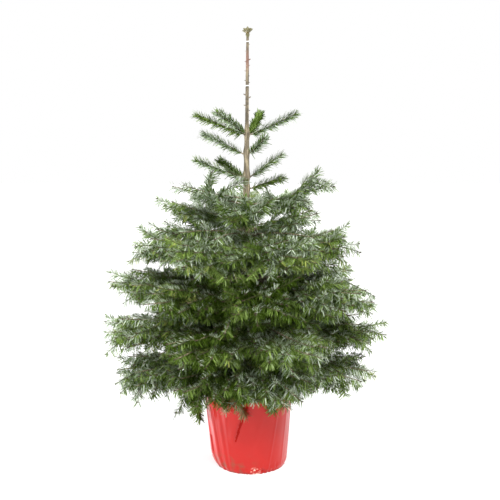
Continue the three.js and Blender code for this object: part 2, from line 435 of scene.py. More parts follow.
def side_shoots(limb, parent, wood, order):
    """Grows what branches from a stretch of wood, and returns it with all that branches from that."""
    rule = growth()
    rng = limb.rng
    total = parent.length()
    grown = []
    for distance, vigour, side in shoot_places(parent, order, rng):
        start, heading = parent.at(distance)
        if not in_crown(start):
            continue
        direction = side_heading(heading, side, rng)
        natural = (total - distance) * rule.side_share * vigour + rng.uniform(0.2, 0.5) * rule.year
        natural = min(natural, LONGEST_SIDE * rule.year)
        reach = min(natural, room(start, direction) - rule.skin) * rng.uniform(0.92, 1.0)
        if reach < rule.shortest:
            continue
        lift = rng.normal(-0.20 if order == 0 else 0.0, 0.08)
        points = straightish(rng, start, direction, reach, lift)
        thick = min(wood * 0.55, 0.0009 + 0.0075 * reach)
        radii = np.linspace(thick, SHOOT_TIP, len(points))
        age = 1 if reach < YOUNG * rule.year else 2
        shoot = Shoot(limb, points, radii, order + 1, age)
        shoot.strong = parent.strong
        if shoot.depth > SHADE_DEPTH and rng.random() < SHADED_OUT:
            continue
        grown.append(shoot)
        if order < 2 and reach > LEAST_FORKED:
            carried = side_shoots(limb, shoot, thick, order + 1)
            for small in carried:
                small.spray = shoot
            grown += carried
    return grown


def main_axis(limb):
    """Points of the limb's own axis, from inside the trunk to just short of its tip."""
    root = inside_trunk(limb.point(0.0)[2])
    tip = limb.tip * FORKED.get(limb.name, 1.0) - 0.009
    reaches = np.append(np.arange(root, tip - STEP * 0.4, STEP), tip)
    return [limb.point(reach) for reach in reaches]


def point_count(reach):
    """How many points the axis of a limb or a strong shoot has."""
    return max(4, int(reach / STEP) + 1)


def companion_axis(limb, lift, aside):
    """Points of a limb beside the main one, which heads for another part of the mass's skin."""
    rng = limb.rng
    fork = limb.tip * rng.uniform(0.30, 0.42)
    middle = limb.point(fork)
    heading = limb.ahead(fork, 0.01)
    across = level_side(heading)
    upper = np.cross(heading, across)
    rise = math.tan(math.radians(lift + rng.normal(0, 2)))
    drift = math.tan(math.radians(aside + rng.normal(0, 3)))
    direction = unit(heading + upper * rise + across * drift)
    reach = room(middle, direction, 0.6) - growth().skin
    if reach < 0.05:
        return None
    end = middle + direction * reach
    height = limb.point(0.0)[2] + lift * 0.0028
    bearing = limb.middle + math.radians(aside) * 0.35
    start = beside_trunk(height, bearing, inside_trunk(height))
    middle = middle + upper * lift * 0.0008
    return curve(start, middle, end, point_count(np.linalg.norm(end - start)))


def outline_reach(bearing, height):
    """How far the crown's outline stands from the trunk's axis, looking at it from outside."""
    outward = Vector((math.cos(bearing), math.sin(bearing), 0))
    reaches = []
    for level in (height - 0.03, height, height + 0.03):
        centre = Vector((*trunk_axis(level), level))
        ahead = crown_skin().ray_cast(centre + outward, -outward)[3]
        reaches.append(0.0 if ahead is None else 1.0 - ahead)
    return max(reaches)


BETWEEN_RISE = 0.064  # how far above its limb one between two tiers leaves the trunk
BETWEEN_TURN = 0.42  # how far round from it, in radians
LEAST_BETWEEN = 0.12  # length under which it is left out


def between_axis(limb):
    """Points of a limb that leaves the trunk between two tiers, and reaches the crown's outline there."""
    rng = limb.rng
    height = limb.point(0.0)[2] + BETWEEN_RISE + rng.normal(0, 0.008)
    bearing = limb.middle + BETWEEN_TURN + rng.normal(0, 0.1)
    slope = (limb.point(limb.tip)[2] - limb.point(0.0)[2]) / limb.tip + rng.normal(0.02, 0.03)
    reach = 0.3
    for _ in range(3):
        reach = outline_reach(bearing, height + slope * reach) * rng.uniform(0.95, 1.0) - growth().skin
    if reach < LEAST_BETWEEN:
        return None
    heading = heading_at(bearing)
    start = inside_trunk(height)
    points = []
    for part in np.linspace(0, 1, point_count(reach - start)):
        out = start + (reach - start) * part
        rise = slope * out * (0.55 + 0.45 * part) + 0.012 * math.sin(math.pi * part)
        points.append([*(trunk_axis(height) + heading * out), height + rise])
    return points


SHOOT_TIER = 3  # from this tier up a limb is one unbranched shoot
HIGH_FAN = ((8, 17), (-8, -17))  # companions of a limb: degrees up and degrees to its left
DEEP_FAN = ((13, 6), (-13, -6), (4, 24), (-4, -24), (8, -17), (-8, 17))
LOW_FAN = (*DEEP_FAN, (-24, 8), (-20, -14))
LOWEST_TIER = 8

STRONG_SHOOTS = {  # share of the limb's reach where each leaves it, then its tip: out, degrees aside, height
    "4_high_left": ((0.42, 0.118, 2, 1.000), (0.46, 0.125, -6, 0.985), (0.30, 0.075, 70, 0.975)),
    "4_high_right": (
        (0.55, 0.244, 7, 1.004), (0.50, 0.222, -3, 0.985), (0.60, 0.290, -8, 0.953),
        (0.24, 0.072, 12, 0.945), (0.35, 0.210, -14, 0.880), (0.40, 0.205, 2, 0.982),
        (0.50, 0.240, -5, 0.968),
    ),
    "4_low_left": ((0.30, 0.190, 12, 0.868), (0.20, 0.170, -10, 0.830)),
    "4_low_right": ((0.20, 0.175, 14, 0.862), (0.15, 0.130, -10, 0.868), (0.30, 0.205, 6, 0.848)),
    "5_left": (
        (0.20, 0.325, 0, 0.828), (0.10, 0.275, -5, 0.832), (0.05, 0.200, -14, 0.838),
        (0.05, 0.235, 9, 0.826), (0.05, 0.160, 26, 0.832), (0.60, 0.362, -6, 0.812),
        (0.35, 0.392, 8, 0.708), (0.30, 0.340, -6, 0.700), (0.50, 0.370, 12, 0.760),
    ),
    "5_right": (
        (0.50, 0.345, 6, 0.826), (0.45, 0.320, 12, 0.800), (0.60, 0.382, -6, 0.738),
        (0.35, 0.330, -12, 0.790), (0.45, 0.335, 0, 0.700),
    ),
    "4_front": (
        (0.10, 0.120, 46, 0.915), (0.10, 0.120, -44, 0.910), (0.12, 0.140, 8, 0.895),
        (0.30, 0.160, 28, 0.905), (0.30, 0.160, -28, 0.900), (0.20, 0.130, 0, 0.920),
        (0.35, 0.190, 14, 0.880),
    ),
    "5_front_left": (
        (0.40, 0.330, -8, 0.800), (0.35, 0.330, 16, 0.700), (0.30, 0.345, 30, 0.690),
        (0.25, 0.300, 22, 0.760),
    ),
    "5_front_right": (
        (0.40, 0.330, 10, 0.795), (0.35, 0.335, -14, 0.695), (0.30, 0.300, -26, 0.780),
        (0.30, 0.345, -24, 0.700), (0.28, 0.330, -38, 0.735),
    ),
    "6_front": (
        (0.35, 0.345, -4, 0.690), (0.30, 0.335, 15, 0.692), (0.30, 0.330, -20, 0.688),
        (0.30, 0.335, 27, 0.686), (0.40, 0.350, 14, 0.660), (0.35, 0.340, -12, 0.650),
        (0.30, 0.300, 0, 0.670), (0.50, 0.380, 26, 0.560),
    ),
    "6_left": (
        (0.60, 0.468, -4, 0.656), (0.45, 0.412, 6, 0.562), (0.40, 0.380, -6, 0.550),
        (0.40, 0.430, -8, 0.600),
    ),
    "6_back_right": ((0.60, 0.445, -26, 0.575),),
    "6_front_right": (
        (0.40, 0.360, 10, 0.655), (0.35, 0.330, -8, 0.665), (0.55, 0.425, 24, 0.530),
        (0.45, 0.440, 12, 0.570),
    ),
    "7_left": (
        (0.60, 0.474, -8, 0.508), (0.60, 0.472, 6, 0.405), (0.45, 0.466, 0, 0.435),
        (0.40, 0.440, -16, 0.380),
    ),
    "7_right": ((0.60, 0.476, 10, 0.492), (0.45, 0.425, 4, 0.402), (0.40, 0.430, 14, 0.430)),
    "8_left": (
        (0.60, 0.448, -6, 0.350), (0.55, 0.440, 8, 0.285), (0.50, 0.415, 4, 0.262),
        (0.45, 0.370, -2, 0.245), (0.35, 0.320, 12, 0.240), (0.35, 0.270, 4, 0.235),
        (0.30, 0.160, 24, 0.168), (0.28, 0.172, 14, 0.190),
    ),
    "8_right": ((0.62, 0.448, 4, 0.298), (0.60, 0.345, -6, 0.250), (0.50, 0.400, 6, 0.375)),
    "8_front_left": ((0.50, 0.290, -16, 0.232), (0.40, 0.158, 13, 0.228), (0.40, 0.155, 36, 0.212)),
    "8_front_right": ((0.35, 0.170, 14, 0.222), (0.35, 0.168, 26, 0.232), (0.40, 0.200, 4, 0.245)),
}
FILLING_SHOOTS = {  # shoots that close the gaps between two masses, given as the strong shoots are
    "4_back": (
        (0.15, 0.200, 22, 0.925), (0.10, 0.190, 38, 0.900), (0.10, 0.215, 28, 0.862),
        (0.15, 0.200, -24, 0.920), (0.10, 0.185, -40, 0.895), (0.10, 0.210, -30, 0.862),
    ),
    "4_low_left": ((0.20, 0.225, -20, 0.905), (0.12, 0.205, -34, 0.878), (0.25, 0.250, -16, 0.845)),
    "4_high_right": (
        (0.20, 0.205, 26, 0.925), (0.10, 0.195, 42, 0.895), (0.25, 0.225, 34, 0.870),
        (0.20, 0.175, -8, 0.864),
    ),
    "5_front_left": ((0.05, 0.130, 35, 0.800),),
    "5_front_right": ((0.05, 0.130, -25, 0.800),),
    "5_back": (
        (0.20, 0.300, 22, 0.812), (0.12, 0.270, 38, 0.780), (0.20, 0.290, 30, 0.735),
        (0.20, 0.290, -24, 0.805), (0.12, 0.260, -40, 0.770),
    ),
    "5_left": ((0.15, 0.290, -30, 0.790), (0.10, 0.260, -44, 0.745)),
    "5_right": ((0.20, 0.280, 36, 0.790), (0.10, 0.260, 48, 0.745)),
    "6_back": ((0.20, 0.330, 28, 0.655), (0.20, 0.320, 40, 0.610)),
    "6_left": ((0.20, 0.330, -30, 0.650), (0.15, 0.300, -38, 0.600)),
    "8_left": ((0.50, 0.425, 6, 0.250), (0.42, 0.385, 9, 0.230)),
}
FORKED = {"4_high_right": 0.70, "5_left": 0.80, "5_right": 0.78}  # limbs that end in strong shoots, and where


def strong_axis(limb, leaves, out, aside, height):
    """Points of a strong shoot that leaves its limb, follows it for a while and turns off to its own tip."""
    start = limb.point(limb.tip * leaves)
    end = beside_trunk(height, limb.middle + math.radians(aside), out)
    far = np.linalg.norm(end - start)
    middle = start + limb.ahead(limb.tip * leaves) * far * 0.45
    middle[2] += 0.25 * abs(min(0.0, height - start[2]))
    return curve(start, middle, end, point_count(far))


FEATHER_GAP, LONGEST_FEATHER = 0.034, 0.11  # of the small shoots on one that fills a gap


def feathered(limb, parent, rng):
    """Short shoots in turn to the left and right of one that fills a gap."""
    total = parent.length()
    grown = []
    side = 1
    for distance in np.arange(total * 0.30, total - 0.03, FEATHER_GAP):
        start, heading = parent.at(distance)
        across = level_side(heading)
        spread = growth().side_angle + rng.normal(0, 0.07)
        tilt = UP * rng.normal(0, 0.10)
        reach = min(0.6 * (total - distance) + 0.035, LONGEST_FEATHER) * rng.uniform(0.85, 1.0)
        direction = unit(heading * math.cos(spread) + across * side * math.sin(spread) + tilt)
        points = straightish(rng, start, direction, reach, -0.12)
        grown.append(Shoot(limb, points, np.linspace(0.0015, SHOOT_TIP, len(points)), 2, 1))
        side = -side
    return grown


def thickness(tier):
    """Radius of a full-grown limb where it leaves the trunk."""
    return 0.0024 + 0.00062 * tier


def grow_limb(limb):
    """The limb itself, its companions in other parts of a deep mass, and all that they carry."""
    if limb.tier <= SHOOT_TIER:
        slender, fan = 0.62, ()
    elif limb.tier == SHOOT_TIER + 1:
        slender, fan = 0.72, HIGH_FAN
    else:
        slender, fan = 1.0, LOW_FAN if limb.tier == LOWEST_TIER else DEEP_FAN
    wood = thickness(limb.tier) * slender
    axes = [(main_axis(limb), wood)]
    axes += [(companion_axis(limb, lift, aside), wood * 0.7) for lift, aside in fan]
    if limb.tier > SHOOT_TIER + 1:
        axes.append((between_axis(limb), wood * 0.6))
    grown = []
    for place in STRONG_SHOOTS.get(limb.name, ()):
        points = strong_axis(limb, *place)
        strong = Shoot(limb, points, np.linspace(wood * 0.55, 0.0012, len(points)), 1, 1, 1.25)
        strong.strong = True
        strong.drooping = place[1] < 0.21 and place[3] < 0.235
        strong.clothed *= 1.7 if strong.drooping else 1.0
        grown.append(strong)
        if not strong.drooping and strong.length() > 0.1:
            grown += side_shoots(limb, strong, wood * 0.55, 1)
    for points, thick in axes:
        if points is None:
            continue
        radii = np.linspace(thick, 0.0013, len(points))
        axis = Shoot(limb, points, radii, 0, 1 if limb.tier <= SHOOT_TIER else 3)
        grown.append(axis)
        if limb.tier > SHOOT_TIER:
            grown += side_shoots(limb, axis, thick, 0)
    rng = limb.draws(FILLING_SERIES)
    for place in FILLING_SHOOTS.get(limb.name, ()):
        points = strong_axis(limb, *place)
        filling = Shoot(limb, points, np.linspace(wood * 0.5, 0.0012, len(points)), 1, 1)
        grown.append(filling)
        grown += feathered(limb, filling, rng)
    return grown


@functools.cache
def crown():
    """Every shoot of the tree, by limb name."""
    return {limb.name: grow_limb(limb) for limb in limbs()}


# ---------------------------------------------------------------- meshes from arrays and from bmesh


def link(mesh_object, *materials):
    """Puts an object in the scene with its materials."""
    bpy.context.scene.collection.objects.link(mesh_object)
    for material in materials:
        mesh_object.data.materials.append(material)
    return mesh_object


def array_object(name, points, faces, kinds, materials):
    """Many small joined faces that ride on the tree: faces is a list of index arrays with one width each."""
    mesh = bpy.data.meshes.new(name)
    loops = np.concatenate([face.ravel() for face in faces]).astype(np.int32)
    sizes = np.concatenate([np.full(len(face), face.shape[1]) for face in faces])
    starts = np.concatenate([[0], np.cumsum(sizes)[:-1]]).astype(np.int32)
    mesh.vertices.add(len(points))
    mesh.vertices.foreach_set("co", points.astype(np.float32).ravel())
    mesh.loops.add(len(loops))
    mesh.loops.foreach_set("vertex_index", loops)
    mesh.polygons.add(len(sizes))
    mesh.polygons.foreach_set("loop_start", starts)
    mesh.polygons.foreach_set("material_index", kinds.astype(np.int32))
    mesh.polygons.foreach_set("use_smooth", np.full(len(sizes), True))
    mesh.update(calc_edges=True)
    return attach(link(bpy.data.objects.new(name, mesh), *materials), BODY)


def bmesh_object(name, bm, *materials):
    """Finishes a bmesh as an object that rides on the tree."""
    mesh = bpy.data.meshes.new(name)
    for face in bm.faces:
        face.smooth = True
    bm.to_mesh(mesh)
    bm.free()
    piece = link(bpy.data.objects.new(name, mesh), *materials)
    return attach(piece, BODY)


# ---------------------------------------------------------------- materials


def feed(tree, socket, value):
    """Gives a socket a plain value, a colour, or what another socket puts out."""
    if isinstance(value, bpy.types.NodeSocket):
        tree.links.new(value, socket)
    elif socket.type == "RGBA":
        socket.default_value = (*value, 1)
    else:
        socket.default_value = value


def node(tree, kind, **values):
    """A new node whose named inputs are fed. An underscore in a name stands for a space."""
    made = tree.nodes.new("ShaderNode" + kind)
    for name, value in values.items():
        feed(tree, made.inputs[name.replace("_", " ")], value)
    return made


def new_material(name, **values):
    """A new material, its node tree and its shader, whose named inputs are fed."""
    material = bpy.data.materials.new(name)
    material.use_nodes = True
    tree = material.node_tree
    shader = tree.nodes["Principled BSDF"]
    for name, value in values.items():
        feed(tree, shader.inputs[name.replace("_", " ")], value)
    return material, tree, shader


def object_noise(tree, scale, detail=3.0, stretch=(1, 1, 1)):
    """What a noise on the piece's own coordinates puts out."""
    place = node(tree, "TexCoord")
    mapping = node(tree, "Mapping", Scale=stretch, Vector=place.outputs["Object"])
    grain = node(tree, "TexNoise", Scale=scale, Detail=detail, Vector=mapping.outputs["Vector"])
    return grain.outputs["Fac"]


def ramp(tree, source, low, high, colours):
    """What a colour ramp puts out that runs from the first colour at low to the last at high."""
    made = node(tree, "ValToRGB", Fac=source)
    stops = made.color_ramp.elements
    while len(stops) < len(colours):
        stops.new(0.5)
    for index, shade in enumerate(colours):
        stops[index].position = low + (high - low) * index / (len(colours) - 1)
        stops[index].color = (*shade, 1)
    return made.outputs["Color"]


def patches(tree, source, low, high):
    """Turns a noise into patches: 0 where it is under low, and 1 over high."""
    return ramp(tree, source, low, high, [(0, 0, 0), (1, 1, 1)])


def blend(tree, amount, first, second):
    """A colour part of the way from the first to the second. Each is a colour or a socket."""
    mix = node(tree, "Mix")
    mix.data_type = "RGBA"
    for index, value in ((0, amount), (6, first), (7, second)):
        feed(tree, mix.inputs[index], value)
    return mix.outputs[2]


def times(tree, first, second):
    product = node(tree, "Math")
    product.operation = "MULTIPLY"
    feed(tree, product.inputs[0], first)
    feed(tree, product.inputs[1], second)
    return product.outputs[0]


def along(tree, axis, start, end):
    """0 at one place along an axis of the piece's own coordinates, and 1 at the other."""
    place = node(tree, "TexCoord")
    split = node(tree, "SeparateXYZ", Vector=place.outputs["Object"])
    return node(tree, "MapRange", From_Min=start, From_Max=end, Value=split.outputs[axis]).outputs["Result"]


def bump(tree, shader, source, strength, distance):
    made = node(tree, "Bump", Strength=strength, Distance=distance, Height=source)
    tree.links.new(made.outputs["Normal"], shader.inputs["Normal"])


def vary_roughness(tree, shader, source, low, high):
    made = node(tree, "MapRange", To_Min=low, To_Max=high, Value=source)
    tree.links.new(made.outputs["Result"], shader.inputs["Roughness"])


def needle_material(name, shade, roughness, shine):
    """One plain green with a waxy shine that varies from needle to needle."""
    material, tree, shader = new_material(name, Base_Color=shade, Specular_IOR_Level=shine)
    vary_roughness(tree, shader, object_noise(tree, 260, 2.0), roughness - 0.12, roughness + 0.12)
    return material


NEEDLE_KINDS = ("deep", "forest", "middle", "fresh", "olive", "lime", "silver", "dry", "sage")
NEEDLE_ROUGHNESS = {"silver": 0.42, "deep": 0.45}
NEEDLE_SHINE = {"deep": 0.05, "forest": 0.15, "middle": 0.32, "fresh": 0.38}


@functools.cache
def needle_materials():
    shades = settings("fir_colours")
    return [
        needle_material(
            "needles_" + kind,
            tuple(getattr(shades, kind)),
            NEEDLE_ROUGHNESS.get(kind, 0.36),
            NEEDLE_SHINE.get(kind, 0.5),
        )
        for kind in NEEDLE_KINDS
    ]


@functools.cache
def twig_materials():
    """Bark of last year's twigs, of older wood, and the resting buds."""
    shades = settings("fir_colours")
    made = []
    parts = (("twig_young", shades.young_bark), ("twig_old", shades.twig_bark), ("bud", shades.bud))
    for name, shade in parts:
        material, tree, shader = new_material(name, Base_Color=shade, Roughness=0.6)
        bump(tree, shader, object_noise(tree, 900), 0.4, 0.0004)
        made.append(material)
    return made


MOTTLED = (1.10, 1.20)  # heights between which the leader's bark turns mottled
REDDISH_FROM, REDDISH_TO = (1.325, 1.352), (1.410, 1.384)  # where a reddish stretch fades in and out
REDDISH = (0.24, 0.095, 0.075)


@functools.cache
def bark_material():
    """Smooth young bark: olive and tan, with long upright streaks and small pale pores."""
    shades = settings("fir_colours")
    base = Vector(shades.old_bark)
    material, tree, shader = new_material("bark")
    streaks = object_noise(tree, 210, 4.0, (1, 1, 0.09))
    pale = base * 1.7 + Vector((0.05, 0.05, 0.03))
    tint = ramp(tree, streaks, 0.33, 0.68, [base * 0.36, base * 0.85, pale])
    mottle = patches(tree, object_noise(tree, 105, 4.0, (1, 1, 0.7)), 0.44, 0.60)
    young = times(tree, mottle, along(tree, "Z", *MOTTLED))
    colour = blend(tree, times(tree, young, 0.8), tint, base * 0.38)
    reddish = times(tree, along(tree, "Z", *REDDISH_FROM), along(tree, "Z", *REDDISH_TO))
    colour = blend(tree, times(tree, reddish, 0.5), colour, REDDISH)
    tree.links.new(colour, shader.inputs["Base Color"])
    vary_roughness(tree, shader, streaks, 0.5, 0.75)
    bump(tree, shader, object_noise(tree, 620, 2.0, (1, 1, 2.4)), 0.5, 0.0006)
    return material


# The first colour is real soil dust near the foot. The second is a painted highlight: pale glints where light
# catches small creases at the front of the foot.
DIRT, PAINTED_GLINT = (0.19, 0.07, 0.035), (0.95, 0.52, 0.42)  # colours on the film near its foot


@functools.cache
def film_material(name="red_film", depth=1.0, shine=0.38):
    """Thin glossy red film, dusted with soil near its foot, with painted highlights: pale glints on small
    creases at the front of its foot. With a lower depth it gives the deeper red of the laps, partly a double
    layer of film and partly painted shade.
    """
    shades = settings("fir_colours")
    red = Vector(shades.film) * depth
    material, tree, shader = new_material(name, Specular_IOR_Level=shine, Anisotropic=0.9)
    tint = ramp(tree, object_noise(tree, 9, 2.0), 0.3, 0.7, [red * 0.86, red])
    smudge = object_noise(tree, 42, 5.0)
    near_foot = times(tree, patches(tree, smudge, 0.46, 0.64), along(tree, "Z", 0.075, 0.0))
    dirt = times(tree, near_foot, along(tree, "X", 0.04, -0.04))
    colour = blend(tree, dirt, tint, DIRT)
    # painted highlight: pale glints on small creases at the front of the foot
    glint_mask = patches(tree, object_noise(tree, 130, 1.0, (0.5, 1, 1)), 0.54, 0.60)
    glint = times(tree, glint_mask, along(tree, "Z", 0.026, 0.016))
    glint = times(tree, glint, times(tree, along(tree, "X", 0.002, 0.012), along(tree, "X", 0.040, 0.030)))
    tree.links.new(blend(tree, glint, colour, PAINTED_GLINT), shader.inputs["Base Color"])
    upright = node(tree, "CombineXYZ", Z=1.0)
    tree.links.new(upright.outputs["Vector"], shader.inputs["Tangent"])
    vary_roughness(tree, shader, smudge, 0.25, 0.35)
    bump(tree, shader, object_noise(tree, 42, 3.0, (1, 1, 0.3)), 0.2, 0.002)
    return material


def grained_material(name, shades, roughness, scale, detail, relief):
    """A fine grain that runs through some shades and stands out a little."""
    material, tree, shader = new_material(name, Roughness=roughness)
    grain = object_noise(tree, scale, detail)
    tree.links.new(ramp(tree, grain, 0.3, 0.7, shades), shader.inputs["Base Color"])
    bump(tree, shader, grain, 0.6, relief)
    return material


@functools.cache
def plain_materials():
    """Black pot plastic, soil, and the white ties on the leader."""
    made = {}
    for name, shade, roughness, scale, relief in (
        ("pot_plastic", (0.016, 0.016, 0.016), 0.45, 300, 0.0003),
        ("soil", (0.035, 0.02, 0.012), 0.95, 240, 0.004),
        ("tie", (0.85, 0.85, 0.82), 0.6, 500, 0.0002),
    ):
        shades = [Vector(shade) * 0.6, Vector(shade) * 1.3]
        made[name] = grained_material(name, shades, roughness, scale, 5.0, relief)
    return made


@functools.cache
def leader_bud_material():
    """Resinous tan and olive bud scales."""
    shades = [(0.055, 0.045, 0.018), (0.14, 0.13, 0.05), (0.25, 0.22, 0.105)]
    return grained_material("leader_buds", shades, 0.5, 420, 4.0, 0.0006)


# ---------------------------------------------------------------- tubes of wood


def turned_frames(points):
    """Two directions across the axis at each point, carried along it without twisting."""
    points = np.asarray(points)
    headings = np.gradient(points, axis=0)
    headings /= np.linalg.norm(headings, axis=1, keepdims=True)
    side = unit(np.cross(headings[0], [0.31, 0.22, 1.0] if abs(headings[0][2]) < 0.9 else [1.0, 0.1, 0.0]))
    sides, lifts = [], []
    for heading in headings:
        side = unit(side - heading * side.dot(heading))
        sides.append(side)
        lifts.append(np.cross(heading, side))
    return np.array(sides), np.array(lifts)


def first_ring(bm, sides, radius):
    """The points and edges of a new open circle."""
    ring = bmesh.ops.create_circle(bm, cap_ends=False, segments=sides, radius=radius)["verts"]
    return ring, list(dict.fromkeys(edge for vert in ring for edge in vert.link_edges))


def next_ring(bm, edges):
    """Extrudes a ring of edges, and returns the new ring's points and edges."""
    made = bmesh.ops.extrude_edge_only(bm, edges=edges)["geom"]
    fresh = [item for item in made if isinstance(item, bmesh.types.BMVert)]
    edges = [item for item in made if isinstance(item, bmesh.types.BMEdge)]
    return fresh, [edge for edge in edges if set(edge.verts) <= set(fresh)]


def add_tube(bm, points, radius_at, sides):
    """Extrudes a ring along points. radius_at(index, angle) gives the radius there. Both ends are closed."""
    across, lifted = turned_frames(points)
    angles = [FULL_TURN * index / sides for index in range(sides)]

    def ring_places(index):
        for turn in angles:
            outward = across[index] * math.cos(turn) + lifted[index] * math.sin(turn)
            yield Vector(points[index] + outward * radius_at(index, turn))

    ring, edges = first_ring(bm, sides, 1.0)
    for vert, place in zip(ring, ring_places(0)):
        vert.co = place
    bmesh.ops.contextual_create(bm, geom=edges)
    for index in range(1, len(points)):
        fresh, edges = next_ring(bm, edges)
        old_to_new = {}
        for vert in fresh:
            below = [edge.other_vert(vert) for edge in vert.link_edges]
            old_to_new.update({other: vert for other in below if other in ring})
        ring = [old_to_new[vert] for vert in ring]
        for vert, place in zip(ring, ring_places(index)):
            vert.co = place
    bmesh.ops.contextual_create(bm, geom=edges)


TRUNK_SIDES = 32
TRUNK_STEP = 0.006
COLLAR_HEIGHT = 0.013
SLENDER = ((1.12, 1.18, 1.25, 1.28), (1.0, 0.86, 0.86, 0.9))  # heights, and shares of the frame's width
BUD_LENGTH = 0.022  # of the leader's top bud, which is a piece of its own


@functools.cache
def limb_roots():
    """Where each limb leaves the trunk: height, bearing and the limb's thickness there."""
    return [(limb.point(0.02)[2], limb.middle, thickness(limb.tier)) for limb in limbs()]


def trunk_relief(point, turn, radius):
    """How far the bark stands out from the trunk's plain taper."""
    old = min(1.0, max(0.0, (1.15 - point[2]) / 0.3))  # the bark is smoother on the youngest wood
    place = Vector((math.cos(turn) * 3.1, math.sin(turn) * 3.1, point[2] * 16))
    coarse = noise.noise(place) * (0.0004 + 0.0007 * old)
    fine = noise.noise(place * Vector((3.4, 3.4, 2.2)).length) * 0.0003
    collar = 0.0
    for height, bearing, thick in limb_roots():
        rise = (point[2] - height) / COLLAR_HEIGHT
        if abs(rise) < 2.5:
            aside = half_turn(turn - bearing)
            spread = math.exp(-rise * rise - (aside * radius / (thick * 2.4)) ** 2)
            ring = 0.0009 * math.exp(-rise * rise)
            collar = max(collar, 0.0028 * spread + ring)
    return coarse + fine + collar


LEADER_STUBS = (  # height, bearing and size in mm
    (1.420, 30, 2.6), (1.398, 160, 2.4), (1.371, 0, 4.5), (1.364, 185, 3.0), (1.352, 350, 2.6),
    (1.334, 190, 2.8), (1.318, 20, 2.4), (1.303, 170, 3.0), (1.296, 340, 2.6), (1.257, 180, 5.0),
    (1.248, 0, 5.0), (1.222, 180, 4.0), (1.205, 10, 3.0),
)


def stub(bm, height, side, size):
    """A small side bud that stayed asleep on the leader."""
    centre = trunk_axis(height)
    bearing = math.radians(side)
    reach = float(trunk_radius(height)) + size * 0.35
    made = bmesh.ops.create_icosphere(bm, subdivisions=2, radius=1.0)["verts"]
    bmesh.ops.scale(bm, vec=(size, size * 0.42, size * 0.42), verts=made)
    turn = Matrix.Rotation(bearing, 4, "Z") @ Matrix.Rotation(math.radians(-28), 4, "Y")
    bmesh.ops.transform(bm, matrix=turn, verts=made)
    place = (centre[0] + math.cos(bearing) * reach, centre[1] + math.sin(bearing) * reach, height)
    bmesh.ops.translate(bm, vec=place, verts=made)


def build_trunk():
    """The stem from the soil to the top bud, with streaked bark and a collar at every limb."""
    heights, _, _ = trunk_rings()
    levels = np.arange(heights[0], heights[-1] - BUD_LENGTH, TRUNK_STEP)
    points = np.column_stack([trunk_axis(levels), levels])
    radii = trunk_radius(levels) * np.interp(levels, *SLENDER)
    across, lifted = turned_frames(points)
    bm = bmesh.new()

    def radius_at(index, turn):
        # the ring starts where add_tube's frame puts it, so the bearing is read back from that frame
        outward = across[index] * math.cos(turn) + lifted[index] * math.sin(turn)
        bearing = math.atan2(outward[1], outward[0])
        return radii[index] + trunk_relief(points[index], bearing, radii[index])

    add_tube(bm, points, radius_at, TRUNK_SIDES)
    for height, side, size in LEADER_STUBS:
        stub(bm, height, side, size * MM)
    trunk = bmesh_object("trunk_bark", bm, bark_material())
    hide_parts("trunk")


LIMB_SIDES = 8
LIMB_STEP = 0.014


def build_limbs():
    """Each limb's own wood and that of its companions, with a little bark relief."""
    for limb in limbs():
        bm = bmesh.new()
        for shoot in crown()[limb.name]:
            if shoot.order:
                continue
            distances = np.linspace(0, shoot.length(), max(4, int(shoot.length() / LIMB_STEP)))
            points = np.array([shoot.at(distance)[0] for distance in distances])
            ends = np.linspace(0, 1, len(shoot.radii))
            radii = np.interp(distances / distances[-1], ends, shoot.radii)

            def radius_at(index, turn, radii=radii, points=points):
                place = Vector(points[index]) * 55 + Vector((math.cos(turn), math.sin(turn), 0)) * 1.3
                return radii[index] * (1 + 0.16 * noise.noise(place))

            add_tube(bm, points, radius_at, LIMB_SIDES)
        piece = bmesh_object("limb_" + limb.name, bm, bark_material())
        if limb.bare:
            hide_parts("bough_" + limb.name)


# ---------------------------------------------------------------- twigs, buds and needles


TWIG_SIDES = 4


def twig_arrays(shoots):
    """Joined tapering tubes for side shoots, and which bark each face has."""
    points, faces, kinds = [], [], []
    offset = 0
    for shoot in shoots:
        side, lift = turned_frames(shoot.points)
        turn = np.arange(TWIG_SIDES) * FULL_TURN / TWIG_SIDES
        ring = side[:, None] * np.cos(turn)[None, :, None] + lift[:, None] * np.sin(turn)[None, :, None]
        tube = shoot.points[:, None] + ring * shoot.radii[:, None, None]
        rows = len(shoot.points)
        index = offset + np.arange(rows * TWIG_SIDES).reshape(rows, TWIG_SIDES)
        following = np.roll(index, -1, axis=1)
        quads = np.stack([index[:-1], following[:-1], following[1:], index[1:]], -1).reshape(-1, 4)
        points.append(tube.reshape(-1, 3))
        faces.append(quads)
        kinds.append(np.full(len(quads), 0 if shoot.age == 1 else 1))
        offset += rows * TWIG_SIDES
    return np.vstack(points), [np.vstack(faces)], np.concatenate(kinds)


def by_tier():
    """Side shoots and all shoots of each tier."""
    tiers = {}
    for name, shoots in crown().items():
        tiers.setdefault(int(name.split("_")[0]), []).extend(shoots)
    return sorted(tiers.items())


def build_twigs():
    for tier, shoots in by_tier():
        side = [shoot for shoot in shoots if shoot.order]
        if not side:
            continue
        points, faces, kinds = twig_arrays(side)
        piece = array_object(f"twigs_tier_{tier}", points, faces, kinds, twig_materials()[:2])


BUD_SIDES = 4
BUD_TURNS = np.arange(BUD_SIDES) * FULL_TURN / BUD_SIDES
BUD_RING = [(0.25, math.cos(turn) * 0.5, math.sin(turn) * 0.5) for turn in BUD_TURNS]
BUD_SHAPE = np.array([(-0.3, 0, 0), *BUD_RING, (1.0, 0, 0)])  # a bud that points along its first axis
BUD_FACES = np.array(
    [(0, 1 + (side + 1) % BUD_SIDES, 1 + side) for side in range(BUD_SIDES)]
    + [(BUD_SIDES + 1, 1 + side, 1 + (side + 1) % BUD_SIDES) for side in range(BUD_SIDES)]
)
BUD_PLACES = ((0, 1.0), (0.75, 0.75), (-0.75, 0.75))  # how far aside, and share of the size
OUTER_BUDS = 0.05  # nearer to the crown's skin than this, a shoot ends in three buds


